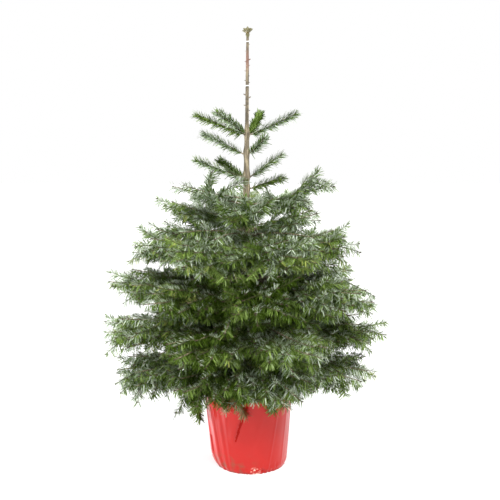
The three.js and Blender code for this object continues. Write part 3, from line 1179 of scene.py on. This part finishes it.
def build_buds():
    """A resting bud at the end of every shoot, with two smaller ones beside it on shoots near the crown's
    skin.
    """
    rng = np.random.default_rng(growth().seed + 50)
    for tier, shoots in by_tier():
        places, lengths, headings = [], [], []
        for shoot in shoots:
            tip, heading = shoot.points[-1], unit(shoot.points[-1] - shoot.points[-2])
            across = level_side(heading)
            size = rng.uniform(0.0062, 0.0082)
            for aside, share_of in BUD_PLACES[: 3 if shoot.depth < OUTER_BUDS else 1]:
                places.append(tip + across * aside * 0.003)
                headings.append(unit(heading + across * aside + UP * rng.normal(0, 0.15)))
                lengths.append(size * share_of)
        places, lengths, headings = np.array(places), np.array(lengths), np.array(headings)
        side = np.cross(headings, UP)
        side /= np.linalg.norm(side, axis=1, keepdims=True)
        lift = np.cross(headings, side)
        shape = BUD_SHAPE * np.array([1.0, 0.62, 0.62])
        frames = np.stack([headings, side, lift], 1)
        points = places[:, None] + (shape @ frames) * lengths[:, None, None]
        faces = BUD_FACES[None] + len(BUD_SHAPE) * np.arange(len(places))[:, None, None]
        faces = faces.reshape(-1, 3)
        piece = array_object(
            f"buds_tier_{tier}", points.reshape(-1, 3), [faces], np.zeros(len(faces)), twig_materials()[2:]
        )


# The darker greens that fill the inner rows are painted shade inside the crown. The sage of the outer row is
# a painted sheen.
KIND_SHARES = (  # how likely each kind of green is, for shoots from the middle of the crown out to its skin
    (0.54, 0.31, 0.09, 0.01, 0.03, 0.00, 0.02, 0.0, 0.00),
    (0.22, 0.30, 0.20, 0.09, 0.06, 0.02, 0.04, 0.0, 0.07),
    (0.02, 0.09, 0.18, 0.15, 0.06, 0.03, 0.09, 0.0, 0.38),
)
DEEP, FOREST, MIDDLE, FRESH, OLIVE, LIME, SILVER_SHEEN, DRY, SAGE_SHEEN = range(9)

# painted shade: the needles hanging under a spray get a darker green than those on its top
UNDER_SHADE = {  # the green of the needles under a spray, by that of its top
    DEEP: DEEP, FOREST: DEEP, MIDDLE: FOREST, FRESH: MIDDLE, OLIVE: FOREST,
    LIME: FRESH, SILVER_SHEEN: MIDDLE, DRY: OLIVE, SAGE_SHEEN: MIDDLE,
}
ZONE_DEPTHS = (0.14, 0.06)  # under the crown's skin, where its middle zone starts and ends
MIDDLE_ZONE, OUTER_ZONE = 1, 2
# painted light: the tiers up to LIGHT_TIER get paler greens and a sheen under their sprays, and OPEN_TIER
# gets the most
LIGHT_TIER = 5  # tiers that stand in more light have paler sprays
OPEN_TIER = 4  # the tier that stands in the most light of those
# painted shade: low limbs on these sides get the darker greens of the middle zone
SHADED = ("front", "front_left")  # low limbs on these sides hang in shade and are a deeper green
# painted highlight: a silvery top stands for light glancing off the spray
SILVER_TOPS = (0.0, 0.68, 0.85)  # how likely a spray shows a silvery top, by zone
LIGHT_SILVER = 0.85  # the same in the inner zone of the light tiers
DRY_PLACE, DRY_REACH = -0.03, 0.05  # across: where the shoots that droop over the pot have dried


def spray_greens(shoot, zone):
    """The greens of the needles on top of a spray and below it. Its small shoots share them. A pale or silver
    top is painted highlight, a darker underside painted shade.
    """
    place = (shoot.spray.points[0] * 1e5).astype(int)
    rng = np.random.default_rng(abs(int(place.sum())) + zone)
    tier, name = shoot.limb.tier, shoot.limb.name
    if tier <= SHOOT_TIER:
        # painted shade: back limbs of the top tiers get dark greens
        if "back" in name:
            return FOREST, DEEP
        return rng.choice([FOREST, MIDDLE, MIDDLE]), rng.choice([SAGE_SHEEN, SAGE_SHEEN, MIDDLE])
    if shoot.drooping:
        return (DRY, DRY) if abs(shoot.points[-1][0] - DRY_PLACE) < DRY_REACH else (FOREST, MIDDLE)
    # painted light: the upper tiers get paler greens and a sheen under their sprays
    light = tier <= LIGHT_TIER
    if name.endswith(SHADED) and not light:
        zone = min(zone, MIDDLE_ZONE)
    top = rng.choice(len(NEEDLE_KINDS), p=KIND_SHARES[zone])
    if light and top in (DEEP, FOREST, MIDDLE):
        top += 1
    under = UNDER_SHADE[top]
    if light and top in (FOREST, MIDDLE, FRESH):
        under = rng.choice([SAGE_SHEEN, SAGE_SHEEN, SILVER_SHEEN] if tier == OPEN_TIER else [top, SAGE_SHEEN, SAGE_SHEEN])
    elif zone == OUTER_ZONE:
        under = rng.choice([under, SAGE_SHEEN])
    # painted highlight: the silver top stands for light glancing off the spray
    silvery = rng.random() < SILVER_TOPS[zone]
    if zone < MIDDLE_ZONE and light:
        silvery = rng.random() < LIGHT_SILVER
    return SILVER_SHEEN if silvery else top, under


MIXTURES = {  # greens that go with each leading green of a spray
    DEEP: (DEEP, DEEP, FOREST),
    FOREST: (FOREST, DEEP, MIDDLE),
    MIDDLE: (MIDDLE, MIDDLE, FOREST, FRESH),
    FRESH: (FRESH, FRESH, MIDDLE, LIME),
    OLIVE: (OLIVE, OLIVE, FOREST, FRESH),
    LIME: (LIME, FRESH, LIME),
    SILVER_SHEEN: (SILVER_SHEEN, SILVER_SHEEN, MIDDLE, FOREST),
    DRY: (DRY, DRY, OLIVE, DRY),
    SAGE_SHEEN: (SAGE_SHEEN, SILVER_SHEEN, MIDDLE, FOREST),
}


def mixed(leading, rng):
    """Each needle's green, from the mixture that goes with its leading green."""
    kinds = leading.copy()
    for lead, mixture in MIXTURES.items():
        rows = np.flatnonzero(leading == lead)
        kinds[rows] = rng.choice(mixture, len(rows))
    return kinds


TOP_RANK, TWIG_RANK = 0.34, 0.24  # shares of needles that stand on top of a twig, and along its sides
TOP_LENGTH = 0.62  # share of the full length
BRUSH_LEAN = (0.42, 0.88)
BRUSH_LENGTH = (0.60, 0.88)
CROWDED_DEPTHS, CROWDED = (0.02, 0.06, 0.15), (1.55, 1.25, 0.72)  # needles stand closer near the skin
SHOOT_CROWDED, OPEN_CROWDED = 5.6, 1.4  # on the single shoots, and in the tier below them
LEFT, LEFT_OPEN = 0.35, 0.8  # share of needles left at the root of a limb, and of one in the open tier
TOP_ARC, SILVER_ARC = math.radians(55), math.radians(100)  # how far round the top green reaches
TWIG_THICK = 0.0012  # how far from a twig's axis its needles start
BLUNT_DEPTH = 0.024  # deeper in the crown than this a needle is one simple face


def brush_share(shoot):
    """The share of a shoot's needles that lie forward all round it, as on the thick shoots in full light."""
    if shoot.limb.tier <= SHOOT_TIER:
        return 0.84
    if shoot.limb.tier == OPEN_TIER:
        return 0.36
    return 0.30 if shoot.strong else 0.0


def needle_ranks(shoot, count, rng):
    """How far round the twig each needle stands (0 is on top), its lean and its share of the full length."""
    rule = settings("fir_needles")
    rank = rng.random(count)
    on_top, over_twig = rank < TOP_RANK, rank < TOP_RANK + TWIG_RANK
    turn = np.where(over_twig, rng.uniform(0.7, 2.0, count), rng.normal(rule.hang, 0.30, count))
    turn = np.where(on_top, rng.uniform(0, 0.9, count), turn)
    lean = np.where(over_twig, rule.lean_top * 0.8, rule.lean_side)
    share_of = np.where(over_twig, TOP_LENGTH, 1.0)
    brush = rng.random(count) < brush_share(shoot)
    turn = np.where(brush, rng.random(count) ** 0.8 * math.pi, turn)
    lean = np.where(brush, rng.uniform(*BRUSH_LEAN, count), lean)
    share_of = np.where(brush, rng.uniform(*BRUSH_LENGTH, count), share_of)
    turn = np.clip(turn, 0.0, math.pi) * rng.choice([-1, 1], count)
    return turn, lean + rng.normal(0, 0.06, count), share_of


def not_shed(limb, base, rng):
    """Which needles of a limb's own wood are left: none beside the trunk, and few near it."""
    reach = np.hypot(*(base[:, :2] - trunk_axis(base[:, 2])).T)
    keep = reach > max(limb.entry + 0.02, 0.018)
    left = LEFT_OPEN if limb.tier == OPEN_TIER else LEFT
    keep &= rng.random(len(base)) < np.clip(left + 0.8 * reach / limb.tip, 0, 1)
    return reach > 0.016 if limb.tier <= SHOOT_TIER else keep


def clothe(shoot, rng):
    """The needles of one shoot: feet, directions, blade normals, lengths, kinds, and which are outer."""
    limb = shoot.limb
    rule = settings("fir_needles")
    steps = np.diff(shoot.points, axis=0)
    spans = np.linalg.norm(steps, axis=1)
    total = spans.sum()
    crowded = SHOOT_CROWDED if limb.tier <= SHOOT_TIER else np.interp(shoot.depth, CROWDED_DEPTHS, CROWDED)
    crowded *= OPEN_CROWDED if limb.tier == OPEN_TIER else 1.0
    count = int(total * rule.per_metre * shoot.clothed * crowded)
    if count < 3:
        return None
    along = (np.arange(count) + rng.uniform(0.0, 1.0, count)) / count
    along = (along + 0.06 * along * (1 - along)) * total  # a little denser towards the tip
    ends = np.concatenate([[0], np.cumsum(spans)])
    row = np.clip(np.searchsorted(ends, along) - 1, 0, len(spans) - 1)
    heading = steps[row] / spans[row, None]
    base = shoot.points[row] + heading * (along - ends[row])[:, None]
    if shoot.order == 0:
        keep = not_shed(limb, base, rng)
        along, heading, base = along[keep], heading[keep], base[keep]
        count = len(along)
        if not count:
            return None
    up = UP - heading * heading[:, 2:]
    up /= np.maximum(np.linalg.norm(up, axis=1, keepdims=True), 1e-6)
    side = np.cross(heading, up)
    turn, lean, share_of = needle_ranks(shoot, count, rng)
    radial = up * np.cos(turn)[:, None] + side * np.sin(turn)[:, None]
    end = np.clip((total - along) / 0.014, 0, 1)
    start = np.clip(along / 0.02, 0, 1)
    lean *= 0.62 + 0.38 * end
    direction = heading * np.cos(lean)[:, None] + radial * np.sin(lean)[:, None]
    size = rule.length * share_of * (0.86 + 0.14 * end) * (0.72 + 0.28 * start)
    size = size * rng.normal(1.0, 0.07, count)
    normal = up * 0.75 + radial * 0.35 + rng.normal(0, 0.17, (count, 3))
    normal -= direction * (normal * direction).sum(1, keepdims=True)
    normal /= np.linalg.norm(normal, axis=1, keepdims=True)
    zone = sum(shoot.depth <= depth for depth in ZONE_DEPTHS)
    # the top green of a spray carries its painted highlight, the green under it its painted shade
    top, under = spray_greens(shoot, zone)
    kinds = np.where(np.abs(turn) < (SILVER_ARC if under == SILVER_SHEEN else TOP_ARC), top, under)
    kinds = mixed(kinds, rng)
    outer = np.full(count, shoot.depth < BLUNT_DEPTH)
    return base + radial * TWIG_THICK, direction, normal, size, kinds, outer


def needle_arrays(parts):
    """Flat, slightly curved blades, narrow at the base. The outer ones have a blunt end."""
    base, direction, normal, size, kinds, outer = (np.concatenate(column) for column in zip(*parts))
    width = settings("fir_needles").width
    across = np.cross(direction, normal) * width / 2
    reach = direction * size[:, None]
    bend = normal * size[:, None] * 0.1
    third, middle, end = base + reach * 0.3, base + reach * 0.5, base + reach + bend
    tip = across * 0.55
    blunt = np.stack([base, third - across, third + across, end - tip, end + tip], 1)[outer]
    simple = np.stack([base, middle - across, end, middle + across], 1)[~outer]
    offset = 5 * np.arange(len(blunt))[:, None]
    triangles = np.array([[0, 2, 1]]) + offset
    quads = np.array([[1, 2, 4, 3]]) + offset
    kites = np.array([[0, 3, 2, 1]]) + 5 * len(blunt) + 4 * np.arange(len(simple))[:, None]
    kinds = np.concatenate([kinds[outer], kinds[outer], kinds[~outer]])
    return np.vstack([blunt.reshape(-1, 3), simple.reshape(-1, 3)]), [triangles, quads, kites], kinds


def build_needles():
    """The needles of every limb, one piece for each mass of foliage."""
    for limb in limbs():
        rng = limb.draws(NEEDLE_SERIES)
        parts = [clothe(shoot, rng) for shoot in crown()[limb.name]]
        points, faces, kinds = needle_arrays([part for part in parts if part])
        piece = array_object("needles_" + limb.name, points, faces, kinds, needle_materials())
        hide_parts("foliage_" + limb.name)


# ---------------------------------------------------------------- the leader's tip and ties


LEADER_BUDS = (  # lean, turn and place below the tip: the top bud, one under it, and the ring round them
    (0, 0, 0.0225),
    (0, 0, 0.0360),
    *((66 + 18 * (side % 2), 51 * side + 8, 0.0165) for side in range(7)),
)
TOP_BUD, SIDE_BUD = (0.0125, 0.0068), (0.0110, 0.0055)  # half their length, and their radius
LEADER_NEEDLES = 26  # short ones between the buds


def scaly_bud(bm, lean, turn, place):
    """One pointed bud of the leader, ridged by its scales."""
    long, thick = SIDE_BUD if lean else TOP_BUD
    made = bmesh.ops.create_uvsphere(bm, u_segments=12, v_segments=9, radius=1.0)["verts"]
    for vert in made:
        taper = 1 - 0.45 * max(0.0, vert.co.z)
        ridge = 1 + 0.07 * math.sin(vert.co.z * 16)
        vert.co = Vector((vert.co.x * taper * ridge, vert.co.y * taper * ridge, vert.co.z))
    bmesh.ops.scale(bm, vec=(thick, thick, long), verts=made)
    bmesh.ops.translate(bm, vec=(0, 0, long * 0.72), verts=made)
    direction = Matrix.Rotation(math.radians(turn), 4, "Z") @ Matrix.Rotation(math.radians(lean), 4, "Y")
    bmesh.ops.transform(bm, matrix=direction, verts=made)
    bmesh.ops.translate(bm, vec=place, verts=made)


def build_leader_buds():
    """The top bud with a ring of side buds round it, and short needles between them."""
    rng = np.random.default_rng(growth().seed + 9)
    _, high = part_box("trunk")
    top = high.z
    centre = trunk_axis(top - 0.02)
    bm = bmesh.new()
    for lean, turn, below in LEADER_BUDS:
        scaly_bud(bm, lean, turn, (centre[0], centre[1], top - below))
    piece = bmesh_object("leader_buds", bm, leader_bud_material())
    parts = []
    for _ in range(LEADER_NEEDLES):
        turn, lean = rng.uniform(0, FULL_TURN), math.radians(rng.uniform(35, 85))
        direction = np.array([*(heading_at(turn) * math.sin(lean)), math.cos(lean)])
        base = np.array([centre[0], centre[1], top - rng.uniform(0.018, 0.034)])
        normal = unit(np.cross(np.cross(direction, UP), direction))
        size = rng.uniform(0.008, 0.013)
        kind = rng.choice([OLIVE, DRY])
        parts.append(([base], [direction], [normal], [size], [kind], [True]))
    points, faces, kinds = needle_arrays(parts)
    needles = array_object("leader_needles", points, faces, kinds, needle_materials())


TIE_HEIGHTS = (1.4285, 1.2855)
TIE_HIGH, TIE_THICK, TIE_GAP, TIE_SIDES = 0.0036, 0.0012, 0.0009, 40


def build_ties():
    """Two narrow white ties round the leader."""
    for index, height in enumerate(TIE_HEIGHTS):
        radius = float(trunk_radius(height)) * SLENDER[1][-1] + TIE_GAP
        centre = trunk_axis(height)
        bm = bmesh.new()
        _, edges = first_ring(bm, TIE_SIDES, radius)
        for rise, grow in ((0.0, TIE_THICK), (TIE_HIGH, 0.0), (0.0, -TIE_THICK)):
            fresh, edges = next_ring(bm, edges)
            bmesh.ops.translate(bm, vec=(0, 0, rise), verts=fresh)
            for vert in fresh:
                vert.co += Vector((vert.co.x, vert.co.y, 0)).normalized() * grow
        bmesh.ops.translate(bm, vec=(centre[0], centre[1], height - TIE_HIGH / 2), verts=bm.verts)
        bmesh.ops.recalc_face_normals(bm, faces=bm.faces)
        piece = bmesh_object(f"leader_tie_{index + 1}", bm, plain_materials()["tie"])


# ---------------------------------------------------------------- the pot, its soil and its film


FRONT = 270  # bearing of the tree's front, in degrees

FOLDS = (  # degrees from the front at top and foot, how far it stands, its two half-widths, where it ends
    (-84, -62, 3.0, 6.0, 3.4, 0.0),
    (-64, -46, 3.2, 5.5, 2.8, 0.0),
    (-48, -34, 2.4, 4.0, 2.4, 0.0),
    (-36, -27, 1.2, 3.0, 2.2, 0.0),
    (-6, -39, 4.6, 9.0, 2.0, 0.38),
    (24, -8, 1.6, 5.0, 5.0, 0.25),
    (43, 28, 1.6, 1.3, 1.8, 0.0),
    (62, 57, 1.0, 2.0, 3.0, 0.0),
    (80, 78, 1.4, 3.0, 3.0, 0.0),
    (-2, -36, -0.8, 1.8, 1.8, 0.44),
    (-60, -42, -0.8, 1.2, 1.2, 0.0),
    (4, 4, 4.0, 7.0, 2.0, -1.0),
    (14, 14, 4.5, 5.0, 2.0, -1.0),
    (24, 22, -4.0, 3.0, 3.0, -1.0),
)
# The laps get a deeper red: partly a real double layer of film, partly painted shade in the fold.
LAPS_AND_SHADE = ((-2, -36, 0.44, 1.0), (-78, -60, 0.23, 0.45))  # dark laps: degrees at top and foot, from and to where
LAP_WIDE = 3.4  # degrees
FOOT_FOLD = 0.06  # a fold that ends at -1 is only in this share of the height
FOLD_DRIFT = 0.9  # how a fold's slant is spread over the height
FILM_SIDES = 360
FILM_THICK = 0.0005
FILM_EDGE = 0.02  # height of the wavy strip at the top
GATHERED_FROM, GATHERED_TO = 96.0, 262.0  # degrees round the back where small folds are drawn at random
LOOSE_AT, PULLED_IN_AT, CRUMPLED_AT = (-84, 26), (-62, 30), (14, 26)  # degrees from the front, and how wide
CRUMPLE_HIGH, HEEL_HIGH = 0.045, 0.05  # how high the crumple and the pulled-in heel reach


def film_profile():
    """The film's outline from the middle of its underside to its top edge: radius and height."""
    low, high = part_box("film_wrap")
    points = node_points("film_wrap")
    centre = (low + high) / 2
    reach = np.hypot(points[:, 0] - centre.x, points[:, 1] - centre.y)
    outline = []
    for level in np.unique(points[:, 2].round(4)):
        outline.append((reach[abs(points[:, 2] - level) < 2e-4].max(), level))
    return centre, outline


def from_fold(degrees, at_top, at_foot, share_up):
    """How many degrees a place on the film is from a slanting fold."""
    return (degrees - (at_foot + (at_top - at_foot) * share_up**FOLD_DRIFT) + 180) % 360 - 180


def bell(value, middle, wide):
    """1 in the middle, and fading out on both sides."""
    return math.exp(-(((value - middle) / wide) ** 2))


def film_stand_off(degrees, level, top, folds):
    """How far the film stands off the pot, in metres. Its folds, slack and crumple are in mm."""
    share_up = level / top
    stand, sunk = 0.0, 0.0
    for at_top, at_foot, high, left, right, lowest in folds:
        aside = from_fold(degrees, at_top, at_foot, share_up)
        wide = left if aside < 0 else right
        if abs(aside) >= wide * 3:
            continue
        fade = min(1.0, max(0.0, (share_up - lowest) / 0.15)) if lowest > 0 else 1.0
        if lowest < 0:
            fade = bell(share_up, FOOT_FOLD * 0.6, FOOT_FOLD * 0.5)
        swell = high * fade * bell(aside, 0, wide)
        stand = max(stand, swell)
        sunk = min(sunk, swell)
    stand += sunk
    turn = math.radians(degrees)
    around = Vector((math.cos(turn), math.sin(turn), 0))
    loose = 3.4 * bell(degrees, *LOOSE_AT) * min(1.0, level / 0.05)
    slack = noise.noise(around * 2.1 + Vector((0, 0, level * 7))) * 0.9 + 0.5
    foot = max(0.0, 1 - level / CRUMPLE_HIGH)
    crumple = noise.noise(around * 11 + Vector((3.7, 0, level * 60))) * 3.2
    crumple += noise.noise(around * 26 + Vector((0, 5.1, level * 110))) * 2.0
    crumple *= foot * (0.45 + 1.1 * bell(degrees, *CRUMPLED_AT))
    heel = max(0.0, 1 - level / HEEL_HIGH)
    pulled_in = -11.0 * heel * bell(degrees, *PULLED_IN_AT)
    return (stand + slack + loose + crumple + pulled_in) * MM


def spun(profile, steps):
    """An outline of radius and height, spun about the upright axis."""
    bm = bmesh.new()
    verts = [bm.verts.new((reach, 0, level)) for reach, level in profile]
    edges = [bm.edges.new(pair) for pair in zip(verts, verts[1:])]
    bmesh.ops.spin(
        bm, geom=verts + edges, axis=(0, 0, 1), cent=(0, 0, 0), angle=FULL_TURN, steps=steps, use_merge=True
    )
    bmesh.ops.remove_doubles(bm, verts=bm.verts, dist=1e-6)
    bmesh.ops.recalc_face_normals(bm, faces=bm.faces)
    return bm


def spun_piece(name, profile, centre, steps, material):
    """A closed body spun about the pot's axis."""
    bm = spun(profile, steps)
    bmesh.ops.translate(bm, vec=(centre.x, centre.y, 0), verts=bm.verts)
    return bmesh_object(name, bm, material)


def gathered_folds():
    """Small folds round the back, drawn at random and written as FOLDS are."""
    rng = np.random.default_rng(growth().seed + 21)
    folds = []
    bearing = GATHERED_FROM
    while bearing < GATHERED_TO:
        at_foot, high = bearing + rng.normal(0, 5), rng.uniform(0.8, 2.6)
        folds.append((bearing, at_foot, high, rng.uniform(2, 5), rng.uniform(1.2, 3), 0.0))
        bearing += rng.uniform(7, 22)
    return folds


def from_front(place):
    """How many degrees a place is round from the front, as seen from the pot's axis."""
    return math.degrees(math.atan2(place.y, place.x)) - FRONT


def mark_laps_and_shade(bm, centre, top):
    """Gives the second, darker material to the faces where the film laps over itself: partly a real double
    layer, partly painted shade in the fold.
    """
    for face in bm.faces:
        place = face.calc_center_median()
        share_up = place.z / top
        for at_top, at_foot, lowest, highest in LAPS_AND_SHADE:
            aside = from_fold(from_front(place - centre), at_top, at_foot, share_up)
            middle = (share_up - lowest) / (highest - lowest)
            if 0 < middle < 1 and abs(aside) < LAP_WIDE * (0.25 + 0.75 * middle):
                face.material_index = 1


def build_film():
    """Red film drawn round the pot in folds, gathered at the foot and open at the top."""
    centre, outline = film_profile()
    top = outline[-1][1]
    folds = [*FOLDS, *gathered_folds()]
    radii = [reach for reach, _ in outline]
    levels = [level for _, level in outline]
    profile = [(0.0, 0.0), (radii[0] * 0.5, 0.0), (radii[0] * 0.85, 0.0)]
    for level in np.concatenate([np.linspace(0, 0.05, 14), np.linspace(0.056, top, 32)]):
        profile.append((float(np.interp(level, levels, radii)), float(level)))
    bm = spun(profile, FILM_SIDES)
    wall = radii[0] * 0.86
    for vert in bm.verts:
        reach = math.hypot(vert.co.x, vert.co.y)
        if reach < wall:
            continue
        bearing = from_front(vert.co)
        stand = film_stand_off((bearing + 180) % 360 - 180, vert.co.z, top, folds)
        vert.co += Vector((vert.co.x, vert.co.y, 0)) / reach * stand
        if vert.co.z > top - FILM_EDGE:
            edge = (vert.co.z - top + FILM_EDGE) / FILM_EDGE
            vert.co.z += edge * (0.0015 * math.sin(math.radians(bearing) * 9) - 0.0015)
    bmesh.ops.translate(bm, vec=(centre.x, centre.y, 0), verts=bm.verts)
    mark_laps_and_shade(bm, centre, top)
    # the second material is the deeper red of the laps, partly painted shade
    piece = bmesh_object("film", bm, film_material(), film_material("red_film_lap", 0.72, 0.08))
    solid = piece.modifiers.new("wall", "SOLIDIFY")
    solid.thickness = FILM_THICK
    solid.offset = -1
    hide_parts("film_wrap")


POT_WALL = 0.0022
CRUMBS = 170


def build_pot():
    """A thin black container with a rolled rim, a rounded heel and a flat floor."""
    low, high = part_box("nursery_pot")
    centre = (low + high) / 2
    rim = (high.x - low.x) / 2
    foot = rim * 0.83
    wall = POT_WALL
    top, base = high.z, low.z
    profile = [
        (0.0, base),
        (foot - 0.030, base),
        (foot - 0.024, base + 0.004),
        (foot - 0.014, base + 0.018),
        (foot - 0.005, base + 0.045),
        (rim - 0.006, top - 0.024),
        (rim - 0.006, top - 0.02),
        (rim - 0.0014, top - 0.018),
        (rim - 0.0008, top - 0.004),
        (rim - 0.0022, top - 0.0008),
        (rim - 0.0045, top),
        (rim - 0.0068, top - 0.0012),
        (rim - 0.0078, top - 0.005),
        (rim - 0.008 - wall, top - 0.024),
        (foot - 0.009 - wall, base + 0.045),
        (foot - 0.028 - wall, base + wall),
        (0.0, base + wall),
    ]
    piece = spun_piece("pot", profile, centre, 128, plain_materials()["pot_plastic"])
    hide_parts("nursery_pot")


def build_soil():
    """Dark crumbly compost, level under the trunk and loose at the edge."""
    rng = np.random.default_rng(growth().seed + 33)
    low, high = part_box("potting_soil")
    centre = (low + high) / 2
    reach = (high.x - low.x) / 2 - 0.0055
    profile = [(0.0, low.z), (reach * 0.64, low.z), (reach * 0.8, low.z + 0.042), (reach, high.z - 0.006)]
    level = high.z - 0.001
    profile += [(reach * part, level) for part in np.linspace(0.985, 0.03, 40)] + [(0.0, level)]
    piece = spun_piece("soil", profile, centre, 96, plain_materials()["soil"])
    for vert in piece.data.vertices:
        if vert.co.z > high.z - 0.003:
            rough = noise.noise(vert.co * 75) * 0.0022 + noise.noise(vert.co * 190) * 0.0012
            vert.co.z += min(0.0012, rough)
    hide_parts("potting_soil")
    bm = bmesh.new()
    for _ in range(CRUMBS):
        size = rng.uniform(0.0012, 0.0036)
        turn, out = rng.uniform(0, FULL_TURN), math.sqrt(rng.uniform(0.07, 0.9)) * reach
        made = bmesh.ops.create_icosphere(bm, subdivisions=1, radius=size)["verts"]
        stretch = (rng.uniform(0.7, 1.4), rng.uniform(0.7, 1.3), rng.uniform(0.5, 0.9))
        bmesh.ops.scale(bm, vec=stretch, verts=made)
        place = (centre.x + math.cos(turn) * out, centre.y + math.sin(turn) * out, high.z - 0.0005)
        bmesh.ops.translate(bm, vec=place, verts=made)
    crumbs = bmesh_object("soil_crumbs", bm, plain_materials()["soil"])


# ---------------------------------------------------------------- the stage


FLOOR_GREY, FLOOR_GLOW = (0.45, 0.45, 0.45), 0.62
KEY_DIRECTION, KEY_SOFTNESS = (-0.24, 0.72, -1.15), math.radians(32)
STRIPS = (  # name, place, share of the strength, width and height of the tall lights that gloss the film
    ("left_strip", (-2.0, -0.3, 0.42), 0.5, 0.30, 0.8),
    ("back_left_strip", (-1.7, 1.2, 0.42), 1.1, 0.30, 0.8),
    ("back_right_strip", (1.9, 1.6, 0.5), 0.27, 0.4, 0.9),
)
STRIP_COLOUR = (0.93, 0.93, 1.0)
STRIP_AIM = 0.6  # height on the trunk that they are turned to


def aimed(direction):
    """The rotation of a light that shines in a direction."""
    return Vector(direction).to_track_quat("-Z", "Y").to_euler()


def lamp(name, kind, direction, **values):
    """A light that shines in a direction, with values of its own."""
    light = bpy.data.lights.new(name, kind)
    for key, value in values.items():
        setattr(light, key, value)
    made = link(bpy.data.objects.new(name, light))
    made.rotation_euler = aimed(direction)
    return made


def build_stage():
    """A pale floor, even light from all round, one large soft key light and the camera."""
    view = settings("fir_stage")
    scene = bpy.context.scene
    bm = bmesh.new()
    bmesh.ops.create_grid(bm, x_segments=2, y_segments=2, size=30)
    mesh = bpy.data.meshes.new("floor")
    bm.to_mesh(mesh)
    bm.free()
    pale, _, _ = new_material(
        "pale_floor",
        Base_Color=FLOOR_GREY,
        Roughness=0.9,
        Emission_Color=(1, 1, 1),
        Emission_Strength=FLOOR_GLOW,
        Specular_IOR_Level=0.0,
    )
    floor = link(bpy.data.objects.new("floor", mesh), pale)
    world = bpy.data.worlds.new("studio")
    world.use_nodes = True
    backdrop = world.node_tree.nodes["Background"]
    backdrop.inputs["Color"].default_value = (1, 1, 1, 1)
    backdrop.inputs["Strength"].default_value = view.sky
    scene.world = world
    lamp("high_key", "SUN", KEY_DIRECTION, energy=view.key, angle=KEY_SOFTNESS)
    for name, place, strength, wide, tall in STRIPS:
        direction = Vector((0, 0, STRIP_AIM)) - Vector(place)
        strip = lamp(name, "AREA", direction, shape="RECTANGLE", size=wide, size_y=tall, color=STRIP_COLOUR)
        strip.data.energy = view.strip * strength
        strip.location = place
        strip.visible_camera = False
    data = bpy.data.cameras.new("camera")
    data.sensor_fit = "HORIZONTAL"
    data.angle = view.view_angle
    camera = link(bpy.data.objects.new("camera", data))
    camera.location = (view.offset, -view.distance, view.height)
    camera.rotation_euler = (math.pi / 2 - view.pitch, 0, 0)
    scene.camera = camera
    scene.view_settings.view_transform = "Standard"


# ---------------------------------------------------------------- operators, panel and main


class FirStep(bpy.types.Operator):
    """Base of the operators: each makes one piece or one group of like pieces"""

    bl_idname = "fir.step"
    bl_label = "Step"
    bl_options = {"REGISTER", "UNDO"}
    steps = ()

    def execute(self, context):
        for step in self.steps:
            step()
        return {"FINISHED"}


class FirTrunk(FirStep):
    """Make the trunk with its bark, and the ties and buds of its leader"""

    bl_idname = "fir.trunk"
    bl_label = "Trunk and leader"
    steps = (build_trunk, build_leader_buds, build_ties)


class FirLimbs(FirStep):
    """Make the wood of every limb"""

    bl_idname = "fir.limbs"
    bl_label = "Limbs"
    steps = (build_limbs,)


class FirTwigs(FirStep):
    """Make the side shoots"""

    bl_idname = "fir.twigs"
    bl_label = "Twigs"
    steps = (build_twigs,)


class FirBuds(FirStep):
    """Make the resting buds at the shoots' ends"""

    bl_idname = "fir.buds"
    bl_label = "Buds"
    steps = (build_buds,)


class FirNeedleMasses(FirStep):
    """Make the needles of every mass of foliage"""

    bl_idname = "fir.needles"
    bl_label = "Needles"
    steps = (build_needles,)


class FirPot(FirStep):
    """Make the container and its soil"""

    bl_idname = "fir.pot"
    bl_label = "Pot and soil"
    steps = (build_pot, build_soil)


class FirFilm(FirStep):
    """Make the red film round the pot"""

    bl_idname = "fir.film"
    bl_label = "Film"
    steps = (build_film,)


class FirStageSetup(FirStep):
    """Make the floor, the lights and the camera"""

    bl_idname = "fir.stage"
    bl_label = "Stage"
    steps = (build_stage,)


OPERATORS = (FirStageSetup, FirTrunk, FirLimbs, FirTwigs, FirBuds, FirNeedleMasses, FirPot, FirFilm)


class FirPanel(bpy.types.Panel):
    """Lists the steps and the sizes and colours that they use"""

    bl_idname = "VIEW3D_PT_fir"
    bl_label = "Potted Nordmann Fir"
    bl_space_type = "VIEW_3D"
    bl_region_type = "UI"
    bl_category = "Fir"

    def draw(self, context):
        for group in SETTINGS:
            box = self.layout.box()
            for name in SETTINGS[group].__annotations__:
                box.prop(getattr(context.scene, group), name)
        for operator in OPERATORS:
            self.layout.operator(operator.bl_idname)


SETTINGS = {
    "fir_growth": FirGrowth,
    "fir_needles": FirNeedles,
    "fir_colours": FirColours,
    "fir_stage": FirStage,
}
CLASSES = (*SETTINGS.values(), *OPERATORS, FirPanel)


def register():
    for cls in CLASSES:
        bpy.utils.register_class(cls)
    for name, group in SETTINGS.items():
        setattr(bpy.types.Scene, name, PointerProperty(type=group))


def unregister():
    for name in SETTINGS:
        delattr(bpy.types.Scene, name)
    for cls in reversed(CLASSES):
        bpy.utils.unregister_class(cls)


def main():
    register()
    for operator in OPERATORS:
        group, step = operator.bl_idname.split(".")
        getattr(getattr(bpy.ops, group), step)()


if __name__ == "__main__":
    main()
